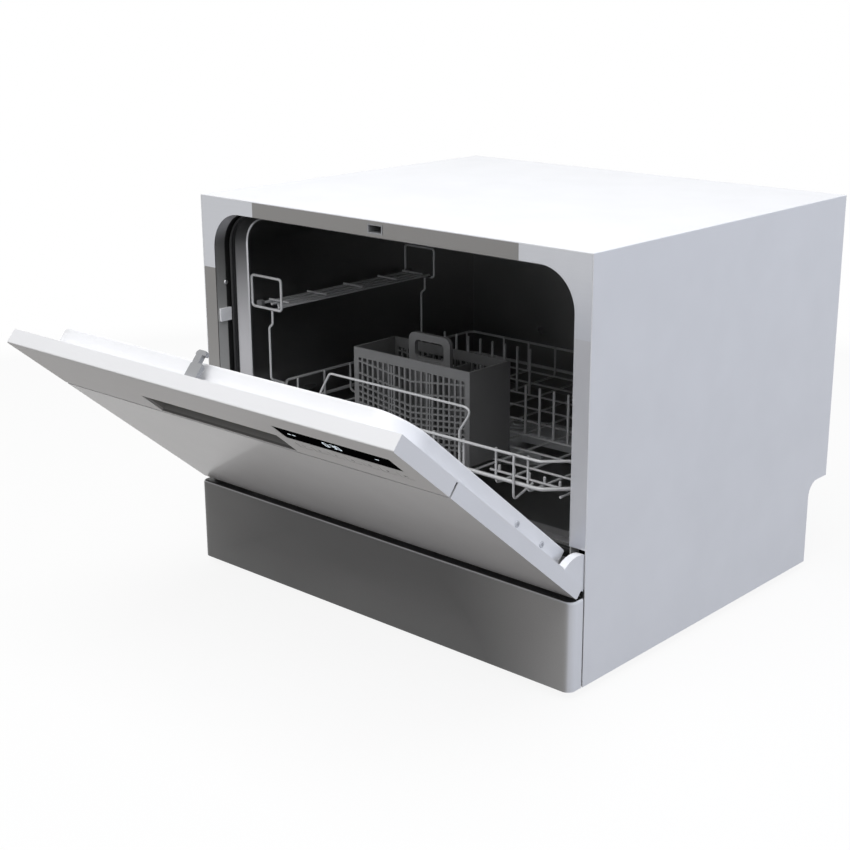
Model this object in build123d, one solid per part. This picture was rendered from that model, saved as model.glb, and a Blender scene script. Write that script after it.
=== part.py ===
from build123d import *
import math
import os

# Countertop dishwasher, front-opening, seen with its door half open.
# Working axes: X to the right, Y to the back, Z up.
# While it is modelled, Y = 0 is the front plane of the cabinet and Z = 0 the
# bottom edge of the side panels. The finished pieces are moved so that the
# origin lies under the middle of the whole object, at the bottom of the feet.

# ---------------------------------------------------------------- cabinet
CAB_W = 550.0
CAB_D = 476.0
CAB_H = 430.0
FOOT_H = 8.0
FOOT_R = 12.0
FOOT_X = 247.0
FOOT_FRONT_Y = 13.0
FOOT_REAR_Y = 408.0
ORIGIN_Y = 107.85
SHEET = 1.0
TOP_T = 1.2
NOTCH_D = 40.0
NOTCH_H = 98.0
NOTCH_R = 18.0
FOLD_W = 12.0
FOLD_Y = 1.1
COVER_EDGE_H = 10.0
COVER_EDGE_Y = 34.0
TRAY_T = 2.5
TRAY_FRONT_Y = 24.0
TRAY_WALL_H = 20.0
POST = 26.0
POST_X = 224.0
POST_FRONT_Y = 62.0
POST_REAR_Y = 400.0
TRAY_FRONT_X = 250.0
VENT_COUNT = 11
VENT_PITCH = 12.0
VENT_LENGTH = 26.0
VENT_W = 4.0
VENT_Z = 330.0
FITTING_Z = 52.0
INLET_X = 180.0
INLET_R = 13.2
INLET_L = 16.0
DRAIN_X = 120.0
DRAIN_R = 9.5
DRAIN_L = 28.0
SHOULDER = 2.0
ROOT = 0.8
GLAND_X = -200.0
GLAND_R = 9.0
GLAND_BORE_R = 4.0
GLAND_FLANGE_R = 13.0
REAR_SCREW_X = (-262, -90, 90, 262)
SCREW_R = 3.6
SCREW_T = 1.8
RECESS_SCREW = (14.4, 329.4)
RECESS_SCREW_R = 3.0
RECESS_SCREW_T = 1.7

# ------------------------------------------------------------- kick plate
KICK_Y = -20.5
KICK_H = 95.0
KICK_T = 2.0
KICK_X = 274.5
KICK_BACK_Y = -1.5
KICK_TAB_X = 200.0
KICK_TAB_W = 20.0
KICK_TAB_Z0 = 20.0
KICK_TAB_Z1 = 60.0
KICK_R = 9.0
KICK_EDGE_R = 3.0

# ------------------------------------------------------- tub and its front
OPEN_X = 255.0
OPEN_TOP = 412.5
OPEN_R = 42.0
FRAME_BOTTOM = 143.0
RECESS_D = 28.0
RECESS_BOTTOM = 100.0
TAPER_Y = 40.0
TUB_X = 244.0
TUB_TOP = 402.0
TUB_R = 30.0
TUB_FLOOR_R = 25.0
TUB_FLOOR = 138.0
TUB_BACK_Y = 436.0
TUB_MID_Y = 238.0
SEAL_Y = 20.0
SEAL_T = 7.4
LOW_SEAL_X = 246.0
LOW_SEAL_Z0 = 120.0
LOW_SEAL_Z1 = 132.0
LOW_LIP_Z0 = 126.0
LOW_LIP_Z1 = 130.0
GUIDE_T = 2.6
GUIDE_Y0 = 2.5
GUIDE_Y1 = 18.9
GUIDE_Z0 = 285.0
GUIDE_Z1 = 300.0
SUMP_R = 88.0
SUMP_BOTTOM = 94.0
MESH_Z = 128.0
HUB_R = 14.0
HUB_TOP = 146.0
HUB_PIN_R = 8.0
SALT_X = -150.0
SALT_Y = 112.0
SALT_R = 24.0
FILTER_X = 38.0
FILTER_Y = 206.0
FILTER_R = 28.0

# -------------------------------------------------------------------- door
DOOR_X = 274.6
DOOR_Z = 103.0
DOOR_L = 326.0
SHELL_T = 14.8
BRIM_T = 1.6
PLUG_T = 39.0
PLUG_X = 251.5
PLUG_LOW = 15.5
PLUG_HIGH = 306.0
PLUG_R = 38.5
PLUG_WALL = 1.5
PLUG_EDGE_R = 2.5
PANEL_H = 236.0
GROOVE = 2.5
FASCIA_T = 2.5
HINGE_Y = -9.7
HINGE_Z = 108.5
HINGE_REST = 50.0
PIN_R = 3.0
PIN_GAP = 0.05
EAR_R = 32.0
EAR_X = 264.5
EAR_T = 8.5
BRACKET_X = 259.0
BRACKET_T = 2.0
BRACKET_EYE_R = 8.0
PIN_HEAD_T = 1.6
SLOT_W = 1.6
SLOT_U = 14.5
EAR_SLOT_U = 40.0
POCKET_X0 = -107.0
POCKET_X1 = 90.0
POCKET_U0 = 241.0
POCKET_U1 = 273.5
WINDOW_X0 = 106.0
WINDOW_X1 = 250.0
WINDOW_U0 = 276.0
WINDOW_U1 = 300.0
DIGIT_H = 9.0
DIGIT_W = 4.6
DIGIT_U = 284.0
DIGIT_X = 164.0
DIGIT_FACE = 0.18
STROKE = 0.9
BOARD_W = 7.0
BOARD_T = 1.6
KEY_NAMES = ["power", "program", "extra", "half_load", "delay", "lock", "start"]
KEY_X = 118.0
KEY_PITCH = 20.8
KEY_U = 264.0
KEY_W = 15.0
KEY_H = 9.0
KEY_GAP = 0.35
KEY_FLANGE = 2.0
KEY_FLANGE_W = 3.6
KEY_STEM_W = 5.0
SWITCH_W = 6.0
# Seven-segment figures: each bar's column, row and direction.
SEGMENTS = {
    "a": (0, 1, "h"),
    "b": (1, 0.5, "v"),
    "c": (1, 0, "v"),
    "d": (0, 0, "h"),
    "e": (0, 0, "v"),
    "f": (0, 0.5, "v"),
    "g": (0, 0.5, "h"),
}
DIGITS = {"0": "abcdef", "3": "abcdg"}
LATCH_Z0 = 417.0
LATCH_Z1 = 424.5
LATCH_X = 9.0
JAW_Y0 = 13.5
JAW_Y1 = 18.6
CATCH_X = 22.0
CATCH_Y = 30.0
CATCH_TOP = 428.0
LATCH_DEPTH = 28.0
JAW_X0 = 3.4
JAW_X1 = 16.5
JAW_ROOM_X = 20.2
NECK_W0 = 33.0
NECK_W1 = 41.0
HEAD_W1 = 46.0
DISP_X0 = -72.0
DISP_X1 = 72.0
DISP_U0 = 136.0
DISP_U1 = 214.0
CUP_X0 = -66.0
CUP_X1 = -4.0
CUP_U0 = 148.0
CUP_U1 = 204.0
RINSE_X = 40.0
RINSE_U = 168.0
RINSE_R = 14.0
DISP_GAP = 0.3
DISP_RIM = 7.0
DISP_PROUD = 2.4
DISP_BACK_W = 19.0
CUP_FLOOR_W = 23.0
LID_HINGE_U = 142.0
LID_HINGE_W = 43.6
LID_PIN_R = 1.2
BUTTON_X0 = 4.0
BUTTON_X1 = 16.0
BUTTON_U0 = 170.0
BUTTON_U1 = 182.0
DOOR_SCREW_U = (58, 106)
DOOR_SCREW_W = 28.0
DOOR_SCREW_R = 3.4

# --------------------------------------------------------------- machinery
WASH_Y = 345.0
WASH_Z = 48.0
WASH_MOTOR_R = 38.0
WASH_VOLUTE_R = 44.0
WASH_PIPE_X = 52.0
WASH_PIPE_Y = 290.0
WASH_PIPE_R = 13.0
RIB_COUNT = 4
RIB_PITCH = 9.0
DRAIN_PUMP_Y = 210.0
DRAIN_PUMP_Z = 32.0
HEATER_Y = 262.0
HEATER_Z = 44.0
HEATER_R = 25.0
HEATER_X0 = -220.0
HEATER_X1 = -110.0
TANK_TOP = 98.0
BOX_X0 = 100.0
BOX_X1 = 205.0
BOX_Y0 = 35.0
BOX_Y1 = 165.0
BOX_TOP = 72.0
BREATHER_X0 = -271.0
BREATHER_X1 = -248.0
VALVE_HALF = 24.0
MESH_GAP = 2.3
ARM_TIP = 11.0
ARM_HALF = 19.0
JET_REACH = (62, 95, 126, 152, 172)
JET_R = 1.6

# ------------------------------------------------------------------- racks
RAIL_X = 230.0
RAIL_Y0 = 38.0
RAIL_Y1 = 416.0
RAIL_CUT = 42.0
RAIL_LOW_Z = 175.0
RAIL_LOW_R = 2.5
RAIL_TOP_Z = 204.0
RAIL_TOP_R = 2.0
CROSS_COUNT = 8
CROSS_Y = 95.0
CROSS_PITCH = 44.0
LONG_X = (-170, -128, -84, -42, 0, 42, 84, 128, 170)
FRONT_BAR_X0 = 100.0
FRONT_BAR_X1 = 202.0
WIRE_R = 1.6
CROSS_Z = 170.0
TINE_R = 1.8
TINE_TOP = 226.0
TINE_PITCH = 20.0
TINE_ROWS = (66.0, 183.0, 315.0)
TINE_FIRST = (110, 50, 50)
TINE_LAST = 190
GLIDE_X = 205.0
GLIDE_Y = (110, 400)
GUARD = ((-138, 204), (-115, 240.5), (97, 240.5), (78, 213.5), (78, 175))
HOOK_X = 157.0
HOOK_LOW_Z = 157.0
STUB_TOP = 175.0
BASKET_X = 84.5
BASKET_Y0 = 50.0
BASKET_Y1 = 116.0
BASKET_Z0 = 171.8
BASKET_Z1 = 275.0
BASKET_WALL = 2.2
BAR_PITCH = 8.0
BAR_W = 2.6
RIB_T = 1.8
RIB_DROP = 9.5
BASKET_POST = 7.0
BASKET_BAND = 11.0
BASKET_SPLIT_X = 28.0
GRIP_X = 30.0
GRIP_H = 21.0
RIB_HEIGHTS = (259, 245.5, 231.5, 224.5, 218, 211.5, 205, 198.5, 192, 187)
SHELF_X0 = -241.5
SHELF_X1 = -192.0
SHELF_Z = 302.7
SHELF_LOOP_TOP = 336.0
SHELF_Y0 = 42.0
SHELF_Y1 = 300.0
SHELF_HINGE_X = -232.0
SHELF_TIP_X = -199.0
SHELF_ROWS_X = (-220, -209)
SHELF_BARS_Y = (60, 120, 180, 240, 285)
CLIP_L = 5.0
LEG_X = -214.0
LEG_FOOT_Y = 62.0
ARM_R = 185.0
ARM_Z0 = 146.3
ARM_Z1 = 160.0


# ------------------------------------------------------------ small helpers
def block(x0, x1, y0, y1, z0, z1):
    """A box between two opposite corners."""
    middle = Pos((x0 + x1) / 2, (y0 + y1) / 2, (z0 + z1) / 2)
    return middle * Box(x1 - x0, y1 - y0, z1 - z0)


def rod(start, end, radius):
    """A round bar from one point to another."""
    a, b = Vector(*start), Vector(*end)
    base = Plane(origin=a, z_dir=(b - a).normalized())
    align = (Align.CENTER, Align.CENTER, Align.MIN)
    return base * Cylinder(radius, (b - a).length, align=align)


def tube(start, end, outer, inner):
    """A round pipe from one point to another."""
    return rod(start, end, outer) - rod(start, end, inner)


def mirror_x(shape):
    return mirror(shape, about=Plane.YZ)


def xz_plane(y):
    """Upright plane at y that takes a sketch drawn as (x, z)."""
    return Plane(origin=(0, y, 0), x_dir=(1, 0, 0), z_dir=(0, -1, 0))


def along_y(sketch, y0, y1):
    """A sketch drawn as (x, z), carried from y0 to y1."""
    return extrude(xz_plane(y0) * sketch, amount=y1 - y0, dir=(0, 1, 0))


def along_x(sketch, x0, x1):
    """A sketch drawn as (y, z), carried from x0 to x1."""
    start = Plane(origin=(x0, 0, 0), x_dir=(0, 1, 0), z_dir=(1, 0, 0))
    return extrude(start * sketch, amount=x1 - x0, dir=(1, 0, 0))


def arch(half, z0, z1, top_r, bottom_r=0.0):
    """A rectangle standing on z0, with its own radii above and below."""
    shape = Pos(0, (z0 + z1) / 2) * Rectangle(2 * half, z1 - z0)
    if bottom_r:
        shape = fillet(shape.vertices().group_by(Axis.Y)[0], bottom_r)
    return fillet(shape.vertices().group_by(Axis.Y)[-1], top_r)


def wire(points, radius, closed=False):
    """Bent round wire: straight lengths that meet at mitres, each a piece."""
    spots = [Vector(*p) for p in points]
    if closed:
        spots.append(spots[0])
    runs = [(b - a).normalized() for a, b in zip(spots, spots[1:])]
    pieces = []
    for n, run in enumerate(runs):
        before = runs[n - 1] if n or closed else None
        last = n == len(runs) - 1
        after = runs[(n + 1) % len(runs)] if closed or not last else None
        start = spots[n] - run * 3 * radius if before else spots[n]
        end = spots[n + 1] + run * 3 * radius if after else spots[n + 1]
        piece = rod(tuple(start), tuple(end), radius)
        if before:
            mitre = Plane(origin=spots[n], z_dir=run + before)
            piece = split(piece, bisect_by=mitre, keep=Keep.TOP)
        if after:
            mitre = Plane(origin=spots[n + 1], z_dir=run + after)
            piece = split(piece, bisect_by=mitre, keep=Keep.BOTTOM)
        pieces.append(piece)
    return pieces


# --------------------------------------------------------- door coordinates
# A point of the closed door is given as x, u (up from the door's bottom edge)
# and w (back from the door's front face).
def door_y(w):
    return KICK_Y + w


def door_z(u):
    return DOOR_Z + u


def slab(x0, x1, u0, u1, w0, w1):
    """A box of the closed door."""
    return block(x0, x1, door_y(w0), door_y(w1), door_z(u0), door_z(u1))


def peg(x, u, w0, w1, radius):
    """A round bar of the closed door, square to its face."""
    start = (x, door_y(w0), door_z(u))
    end = (x, door_y(w1), door_z(u))
    return rod(start, end, radius)


HINGE_AXIS = Axis((0, HINGE_Y, HINGE_Z), (1, 0, 0))


def opened(shape):
    return shape.rotate(HINGE_AXIS, HINGE_REST)


# ------------------------------------------------------------------ cabinet
def side_outline():
    """Side view of the cabinet: a block with a stepped lower rear corner."""
    notch_y = CAB_D - NOTCH_D
    with BuildSketch() as view:
        with BuildLine():
            start = (0, 0)
            corner = (notch_y, 0)
            rise = (notch_y, NOTCH_H - NOTCH_R)
            shelf = (notch_y + NOTCH_R, NOTCH_H)
            Polyline(shelf, (CAB_D, NOTCH_H), (CAB_D, CAB_H - TOP_T), (0, CAB_H - TOP_T), start, corner, rise)
            RadiusArc(rise, shelf, NOTCH_R)
        make_face()
    return view.sketch


def side_panel():
    """Right side: painted sheet with folded front and rear edges."""
    outer = CAB_W / 2
    inner = outer - SHEET
    panel = along_x(side_outline(), inner, outer)
    top = CAB_H - TOP_T
    front = block(inner - FOLD_W, inner, FOLD_Y, FOLD_Y + SHEET, FRAME_BOTTOM + 3, top)
    rear_y = CAB_D - 2 * SHEET - 0.1
    rear = block(inner - FOLD_W, inner, rear_y, rear_y + SHEET, NOTCH_H + 10, top)
    return panel + front + rear


def top_cover():
    """Painted lid with edges turned down just inside the side panels."""
    half = CAB_W / 2
    z0 = CAB_H - TOP_T
    plate = block(-half, half, 0, CAB_D, z0, CAB_H)
    edges = plate.edges().group_by(Axis.Z)[-1]
    plate = chamfer(edges, 0.5)
    edge_x = half - FOLD_W - 2.5
    for side in (-1, 1):
        x0, x1 = sorted((side * edge_x, side * (edge_x - SHEET)))
        plate += block(x0, x1, COVER_EDGE_Y, CAB_D - 4, z0 - COVER_EDGE_H, z0)
    return plate


def rear_panel():
    """Sheet that closes the back and follows the stepped lower corner."""
    half = CAB_W / 2 - SHEET - 0.1
    notch_y = CAB_D - NOTCH_D
    low = TRAY_T
    arc_y = notch_y + NOTCH_R
    arc_z = NOTCH_H - NOTCH_R
    top = CAB_H - TOP_T
    with BuildSketch() as bend:
        with BuildLine():
            Polyline((notch_y, arc_z), (notch_y, low), (notch_y - SHEET, low), (notch_y - SHEET, arc_z))
            RadiusArc((notch_y - SHEET, arc_z), (arc_y, NOTCH_H + SHEET), NOTCH_R + SHEET)
            Polyline(
                (arc_y, NOTCH_H + SHEET),
                (CAB_D - SHEET, NOTCH_H + SHEET),
                (CAB_D - SHEET, top),
                (CAB_D, top),
                (CAB_D, NOTCH_H),
                (arc_y, NOTCH_H),
            )
            RadiusArc((arc_y, NOTCH_H), (notch_y, arc_z), -NOTCH_R)
        make_face()
    panel = along_x(bend.sketch, -half, half)
    holes = []
    for row in range(2):
        for n in range(VENT_COUNT):
            x = (n - (VENT_COUNT - 1) / 2) * VENT_PITCH
            z = VENT_Z - row * 2 * VENT_LENGTH
            x0, x1 = x - VENT_W / 2, x + VENT_W / 2
            holes.append(block(x0, x1, CAB_D - 3, CAB_D + 1, z - VENT_LENGTH / 2, z + VENT_LENGTH / 2))
    for x, radius in ((INLET_X, INLET_R + SHOULDER), (DRAIN_X, DRAIN_R + SHOULDER), (GLAND_X, GLAND_R)):
        holes.append(rod((x, notch_y - 5, FITTING_Z), (x, notch_y + 5, FITTING_Z), radius + 0.3))
    return panel - holes


def base_tray():
    """Moulded floor with low walls and four posts that carry the tub."""
    half = CAB_W / 2 - SHEET - 0.1
    back = CAB_D - NOTCH_D - SHEET - 0.1
    tray = block(-half, half, 2, back, 0, TRAY_T)
    for side in (-1, 1):
        x0, x1 = sorted((side * half, side * (half - 2)))
        tray += block(x0, x1, TRAY_FRONT_Y, back, TRAY_T, TRAY_WALL_H)
        x0, x1 = sorted((side * (POST_X - POST / 2), side * (POST_X + POST / 2)))
        for y in (POST_FRONT_Y, POST_REAR_Y):
            tray += block(x0, x1, y - POST / 2, y + POST / 2, TRAY_T, TUB_FLOOR - SHEET)
    tray += block(-TRAY_FRONT_X, TRAY_FRONT_X, TRAY_FRONT_Y, TRAY_FRONT_Y + 2, TRAY_T, NOTCH_H)
    return tray


def feet():
    """Four rubber feet with a small stepped neck."""
    pads = []
    for x in (-FOOT_X, FOOT_X):
        for y in (FOOT_FRONT_Y, FOOT_REAR_Y):
            pad = rod((x, y, -FOOT_H), (x, y, 0), FOOT_R)
            pads.append(chamfer(pad.edges().group_by(Axis.Z)[0], 1.2))
    return pads


def kick_plate():
    """Plinth below the door: front, two returns, a top lip and two tabs."""
    outer = block(-KICK_X, KICK_X, KICK_Y, KICK_BACK_Y, 0, KICK_H)
    outer = fillet(outer.edges().filter_by(Axis.Z).group_by(Axis.Y)[0], KICK_R)
    rim = outer.edges().group_by(Axis.Z)[-1]
    outer = fillet(rim.sort_by(Axis.Y)[:-1], KICK_EDGE_R)
    inner = block(-KICK_X + KICK_T, KICK_X - KICK_T, KICK_Y + KICK_T, 5, -1, KICK_H - KICK_T)
    inner = fillet(inner.edges().filter_by(Axis.Z).group_by(Axis.Y)[0], KICK_R - KICK_T)
    plate = outer - inner
    for side in (-1, 1):
        x0, x1 = side * KICK_TAB_X - KICK_TAB_W / 2, side * KICK_TAB_X + KICK_TAB_W / 2
        plate += block(x0, x1, KICK_Y + KICK_T, TRAY_FRONT_Y, KICK_TAB_Z0, KICK_TAB_Z1)
    return plate


# -------------------------------------------------------- front of the tub
def front_frame():
    """Bright flange round the mouth of the tub, open between the hinges."""
    half = CAB_W / 2 - SHEET - 0.1
    plate = block(-half, half, 0, SHEET, FRAME_BOTTOM, CAB_H - TOP_T)
    mouth = along_y(arch(OPEN_X, FRAME_BOTTOM - 10, OPEN_TOP, OPEN_R), -1, SHEET + 1)
    slot = block(-LATCH_X - 1.6, LATCH_X + 1.6, -1, SHEET + 1, LATCH_Z0 - 1.3, LATCH_Z1 + 1.3)
    return plate - mouth - slot


def tub_shell():
    """Pressed steel tub: door recess, sloping step and cavity."""
    t = SHEET
    floor = TUB_FLOOR

    def mouth(half, top, radius, grow):
        return arch(half + grow, floor - grow, top + grow, radius + grow, TUB_FLOOR_R + grow)

    def body(grow, front, back):
        wide = xz_plane(RECESS_D) * mouth(OPEN_X, OPEN_TOP, OPEN_R, grow)
        narrow = xz_plane(TAPER_Y) * mouth(TUB_X, TUB_TOP, TUB_R, grow)
        step = loft([wide, narrow], ruled=True)
        return step + along_y(mouth(TUB_X, TUB_TOP, TUB_R, grow), front, back)

    outer = body(t, TAPER_Y, TUB_BACK_Y + t)
    outer += along_y(arch(OPEN_X + t, RECESS_BOTTOM, OPEN_TOP + t, OPEN_R + t), SHEET, RECESS_D + t)
    inner = body(0, TAPER_Y, TUB_BACK_Y)
    inner += along_y(arch(OPEN_X, RECESS_BOTTOM - 1, OPEN_TOP, OPEN_R), -1, RECESS_D)
    shell = outer - inner
    shell -= rod((0, TUB_MID_Y, 120), (0, TUB_MID_Y, 150), SUMP_R)
    shell -= rod((SALT_X, SALT_Y, 120), (SALT_X, SALT_Y, 150), SALT_R + 2)
    return shell


def door_seal():
    """Rubber profile along the sides and the top of the recess."""
    outer = arch(OPEN_X - 0.1, FRAME_BOTTOM - 25, OPEN_TOP - 0.1, OPEN_R - 0.1)
    inner = arch(OPEN_X - SEAL_T, FRAME_BOTTOM - 26, OPEN_TOP - SEAL_T, OPEN_R - SEAL_T)
    return along_y(outer - inner, SEAL_Y, RECESS_D - 0.1)


def lower_door_seal():
    """Rubber lip in front of the tub's lower edge."""
    body = block(-LOW_SEAL_X, LOW_SEAL_X, 22, RECESS_D, LOW_SEAL_Z0, LOW_SEAL_Z1)
    lip = block(-LOW_SEAL_X, LOW_SEAL_X, SEAL_Y - 0.4, 22, LOW_LIP_Z0, LOW_LIP_Z1)
    return body + lip


def guide_blocks():
    """White blocks that centre the door in the recess."""
    block_r = block(OPEN_X - GUIDE_T, OPEN_X, GUIDE_Y0, GUIDE_Y1, GUIDE_Z0, GUIDE_Z1)
    block_r = chamfer(block_r.edges().group_by(Axis.Y)[0], 0.8)
    return [block_r, mirror_x(block_r)]


def latch_catch():
    """Housing behind the slot in the frame, with a chamber for the jaw."""
    z0, z1 = LATCH_Z0, LATCH_Z1
    body = block(-CATCH_X, CATCH_X, SHEET, CATCH_Y, OPEN_TOP + SHEET, CATCH_TOP)
    body += block(-LATCH_X - 1.5, LATCH_X + 1.5, -0.5, SHEET, z0 - 1.2, z1 + 1.2)
    body -= block(-LATCH_X, LATCH_X, -1, LATCH_DEPTH, z0, z1)
    body -= block(LATCH_X - 1, JAW_ROOM_X, JAW_Y0 - 0.4, JAW_Y1 + 0.4, z0, z1)
    return body


def latch_jaw():
    """Sprung tongue that holds the head of the striker."""
    jaw = block(JAW_X0, JAW_X1, JAW_Y0, JAW_Y1, LATCH_Z0 + 0.3, LATCH_Z1 - 0.3)
    tip = jaw.edges().filter_by(Axis.Z).group_by(Axis.X)[0]
    return chamfer(tip, 1.8)


# ------------------------------------------------------------------- hinges
def hinge_bracket():
    """Right hinge plate with its eye in front of the cabinet."""
    eye = (HINGE_Y, HINGE_Z)
    top = HINGE_Z + BRACKET_EYE_R
    with BuildSketch() as view:
        with BuildLine():
            Polyline(
                (eye[0], top),
                (70, top),
                (70, 40),
                (30, 40),
                (20, 90),
                (4, HINGE_Z - BRACKET_EYE_R + 1),
                (eye[0], HINGE_Z - BRACKET_EYE_R),
                close=True,
            )
        make_face()
        with Locations(eye):
            Circle(BRACKET_EYE_R)
    plate = along_x(view.sketch, BRACKET_X, BRACKET_X + BRACKET_T)
    for y, z in ((60, 60), (60, 105)):
        plate += rod((BRACKET_X + BRACKET_T, y, z), (CAB_W / 2 - SHEET, y, z), 5)
    plate += block(POST_X + POST / 2, BRACKET_X, 55, 57, 46, 76)
    return plate - rod((200, *eye), (300, *eye), PIN_R + PIN_GAP)


def hinge_pin():
    """Right hinge pin with a flat head on the inner side of the bracket."""
    eye = (HINGE_Y, HINGE_Z)
    pin = rod((BRACKET_X, *eye), (EAR_X + EAR_T, *eye), PIN_R)
    return pin + rod((BRACKET_X - PIN_HEAD_T, *eye), (BRACKET_X, *eye), PIN_R + 1.8)


def hinge_arm():
    """Right hinge arm: a strip in the door and a round ear behind it."""
    x0, x1 = EAR_X, EAR_X + EAR_T
    strip = slab(x0, x1, 8, 120, 3, SHELL_T)
    eye = (HINGE_Y, HINGE_Z)
    ear = rod((x0, *eye), (x1, *eye), EAR_R)
    ear &= block(x0, x1, HINGE_Y, 100, DOOR_Z - 6, 300)
    collar = rod((x0, *eye), (x1, *eye), BRACKET_EYE_R + 0.5)
    arm = strip + ear + collar
    return arm - rod((200, *eye), (300, *eye), PIN_R + PIN_GAP)


def hinge_slots():
    """Space that the two hinges need in the door's bottom corners."""
    slot = slab(BRACKET_X - 2.4, DOOR_X - SHEET, -1, SLOT_U, SLOT_W, PLUG_T)
    slot += slab(EAR_X - 0.8, DOOR_X + 1, -1, EAR_SLOT_U, SHELL_T, PLUG_T)
    return slot + mirror_x(slot)


# --------------------------------------------------------------------- door
def lower_panel():
    """Painted front pan of the door."""
    outer = slab(-DOOR_X, DOOR_X, 0, PANEL_H, 0, SHELL_T)
    front = outer.edges().group_by(Axis.Y)[0]
    outer = fillet(front.group_by(Axis.Z)[0], 2.5)
    inner = slab(-DOOR_X + SHEET, DOOR_X - SHEET, SHEET, PANEL_H - SHEET, SHEET, SHELL_T + 1)
    pan = outer - inner
    top_lip = slab(-DOOR_X + SHEET, DOOR_X - SHEET, PANEL_H - 3 * SHEET, PANEL_H + 1, 10, SHELL_T + 1)
    return pan - top_lip - hinge_slots()


def control_fascia():
    """White upper front of the door, open behind for the grip and controls."""
    low = PANEL_H + GROOVE
    outer = slab(-DOOR_X, DOOR_X, low, DOOR_L, 0, SHELL_T)
    front = outer.edges().group_by(Axis.Y)[0]
    outer = fillet(front.group_by(Axis.Z)[-1], 1.5)
    t = FASCIA_T
    shell = outer - slab(-DOOR_X + t, DOOR_X - t, low - 1, DOOR_L - t, t, SHELL_T + 1)
    shell += slab(-DOOR_X + t, DOOR_X - t, PANEL_H + 0.1, low, SHEET + 0.4, t)
    shell -= slab(POCKET_X0, POCKET_X1, POCKET_U0, POCKET_U1, -1, t + 1)
    shell -= slab(WINDOW_X0, WINDOW_X1, WINDOW_U0, WINDOW_U1, -1, t + 1)
    for x in key_centres():
        shell -= slab(
            x - KEY_W / 2 - KEY_GAP,
            x + KEY_W / 2 + KEY_GAP,
            KEY_U - KEY_H / 2 - KEY_GAP,
            KEY_U + KEY_H / 2 + KEY_GAP,
            -1,
            t + 1,
        )
    for x in (WINDOW_X0 - 4, WINDOW_X1 + 6):
        shell += peg(x, 290, t, BOARD_W, 3)
    return shell


def key_centres():
    return [KEY_X + n * KEY_PITCH for n in range(len(KEY_NAMES))]


def handle_pocket():
    """Moulded grip cup behind the opening in the fascia."""
    t = FASCIA_T
    wall = 2.0
    depth = 24.0
    throat = 2.0
    outer = slab(POCKET_X0 - wall, POCKET_X1 + wall, POCKET_U0 - wall, POCKET_U1 + 10, t, depth + wall)
    hollow = slab(POCKET_X0, POCKET_X1, POCKET_U0, POCKET_U1 + 8, t + throat, depth)
    mouth = slab(POCKET_X0, POCKET_X1, POCKET_U0, POCKET_U1, t - 1, depth)
    return outer - hollow - mouth


def display_window():
    """Black glossy cover of the display."""
    return slab(WINDOW_X0 + 0.1, WINDOW_X1 - 0.1, WINDOW_U0 + 0.1, WINDOW_U1 - 0.1, 0.3, FASCIA_T)


def display_digits():
    """Seven-segment time 0:30 and three small status bars."""
    bars = []
    x = DIGIT_X
    for symbol in "0:30":
        if symbol == ":":
            for u in (DIGIT_U + 2.2, DIGIT_U + 6.0):
                bars.append(slab(x, x + STROKE, u, u + STROKE, DIGIT_FACE, 0.3))
            x += 2.6
            continue
        for name in DIGITS[symbol]:
            column, row, way = SEGMENTS[name]
            x0 = x + column * (DIGIT_W - STROKE)
            u0 = DIGIT_U + row * (DIGIT_H - STROKE)
            if way == "h":
                bars.append(slab(x + STROKE, x + DIGIT_W - STROKE, u0, u0 + STROKE, DIGIT_FACE, 0.3))
            else:
                length = (DIGIT_H - STROKE) / 2
                bars.append(slab(x0, x0 + STROKE, u0 + STROKE / 2, u0 + length, DIGIT_FACE, 0.3))
        x += DIGIT_W + 1.6
    for x in (118, 124, 226):
        bars.append(slab(x, x + 4, DIGIT_U + 4, DIGIT_U + 5.2, DIGIT_FACE, 0.3))
    return bars


def control_board():
    """Circuit board with a light module and one switch behind each key."""
    board = slab(WINDOW_X0 - 8, WINDOW_X1 + 10, 252, 304, BOARD_W, BOARD_W + BOARD_T)
    board += slab(DIGIT_X - 8, DIGIT_X + 34, 280, 298, FASCIA_T + 0.6, BOARD_W)
    for x in key_centres():
        board += slab(x - 3, x + 3, KEY_U - 3, KEY_U + 3, SWITCH_W, BOARD_W)
    for x in (WINDOW_X0 + 6, WINDOW_X1 - 20):
        board += slab(x, x + 12, 286, 296, BOARD_W + BOARD_T, BOARD_W + BOARD_T + 4)
    return board


def key(x):
    """One push key: cap, retaining flange and stem."""
    cap = slab(x - KEY_W / 2, x + KEY_W / 2, KEY_U - KEY_H / 2, KEY_U + KEY_H / 2, 0.1, FASCIA_T + 0.1)
    cap = chamfer(cap.edges().group_by(Axis.Y)[0], 0.3)
    reach = KEY_W / 2 + KEY_FLANGE
    flange = slab(x - reach, x + reach, KEY_U - 6, KEY_U + 6, FASCIA_T + 0.1, KEY_FLANGE_W)
    stem = slab(x - 2, x + 2, KEY_U - 2, KEY_U + 2, KEY_FLANGE_W, KEY_STEM_W)
    return cap + flange + stem


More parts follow.
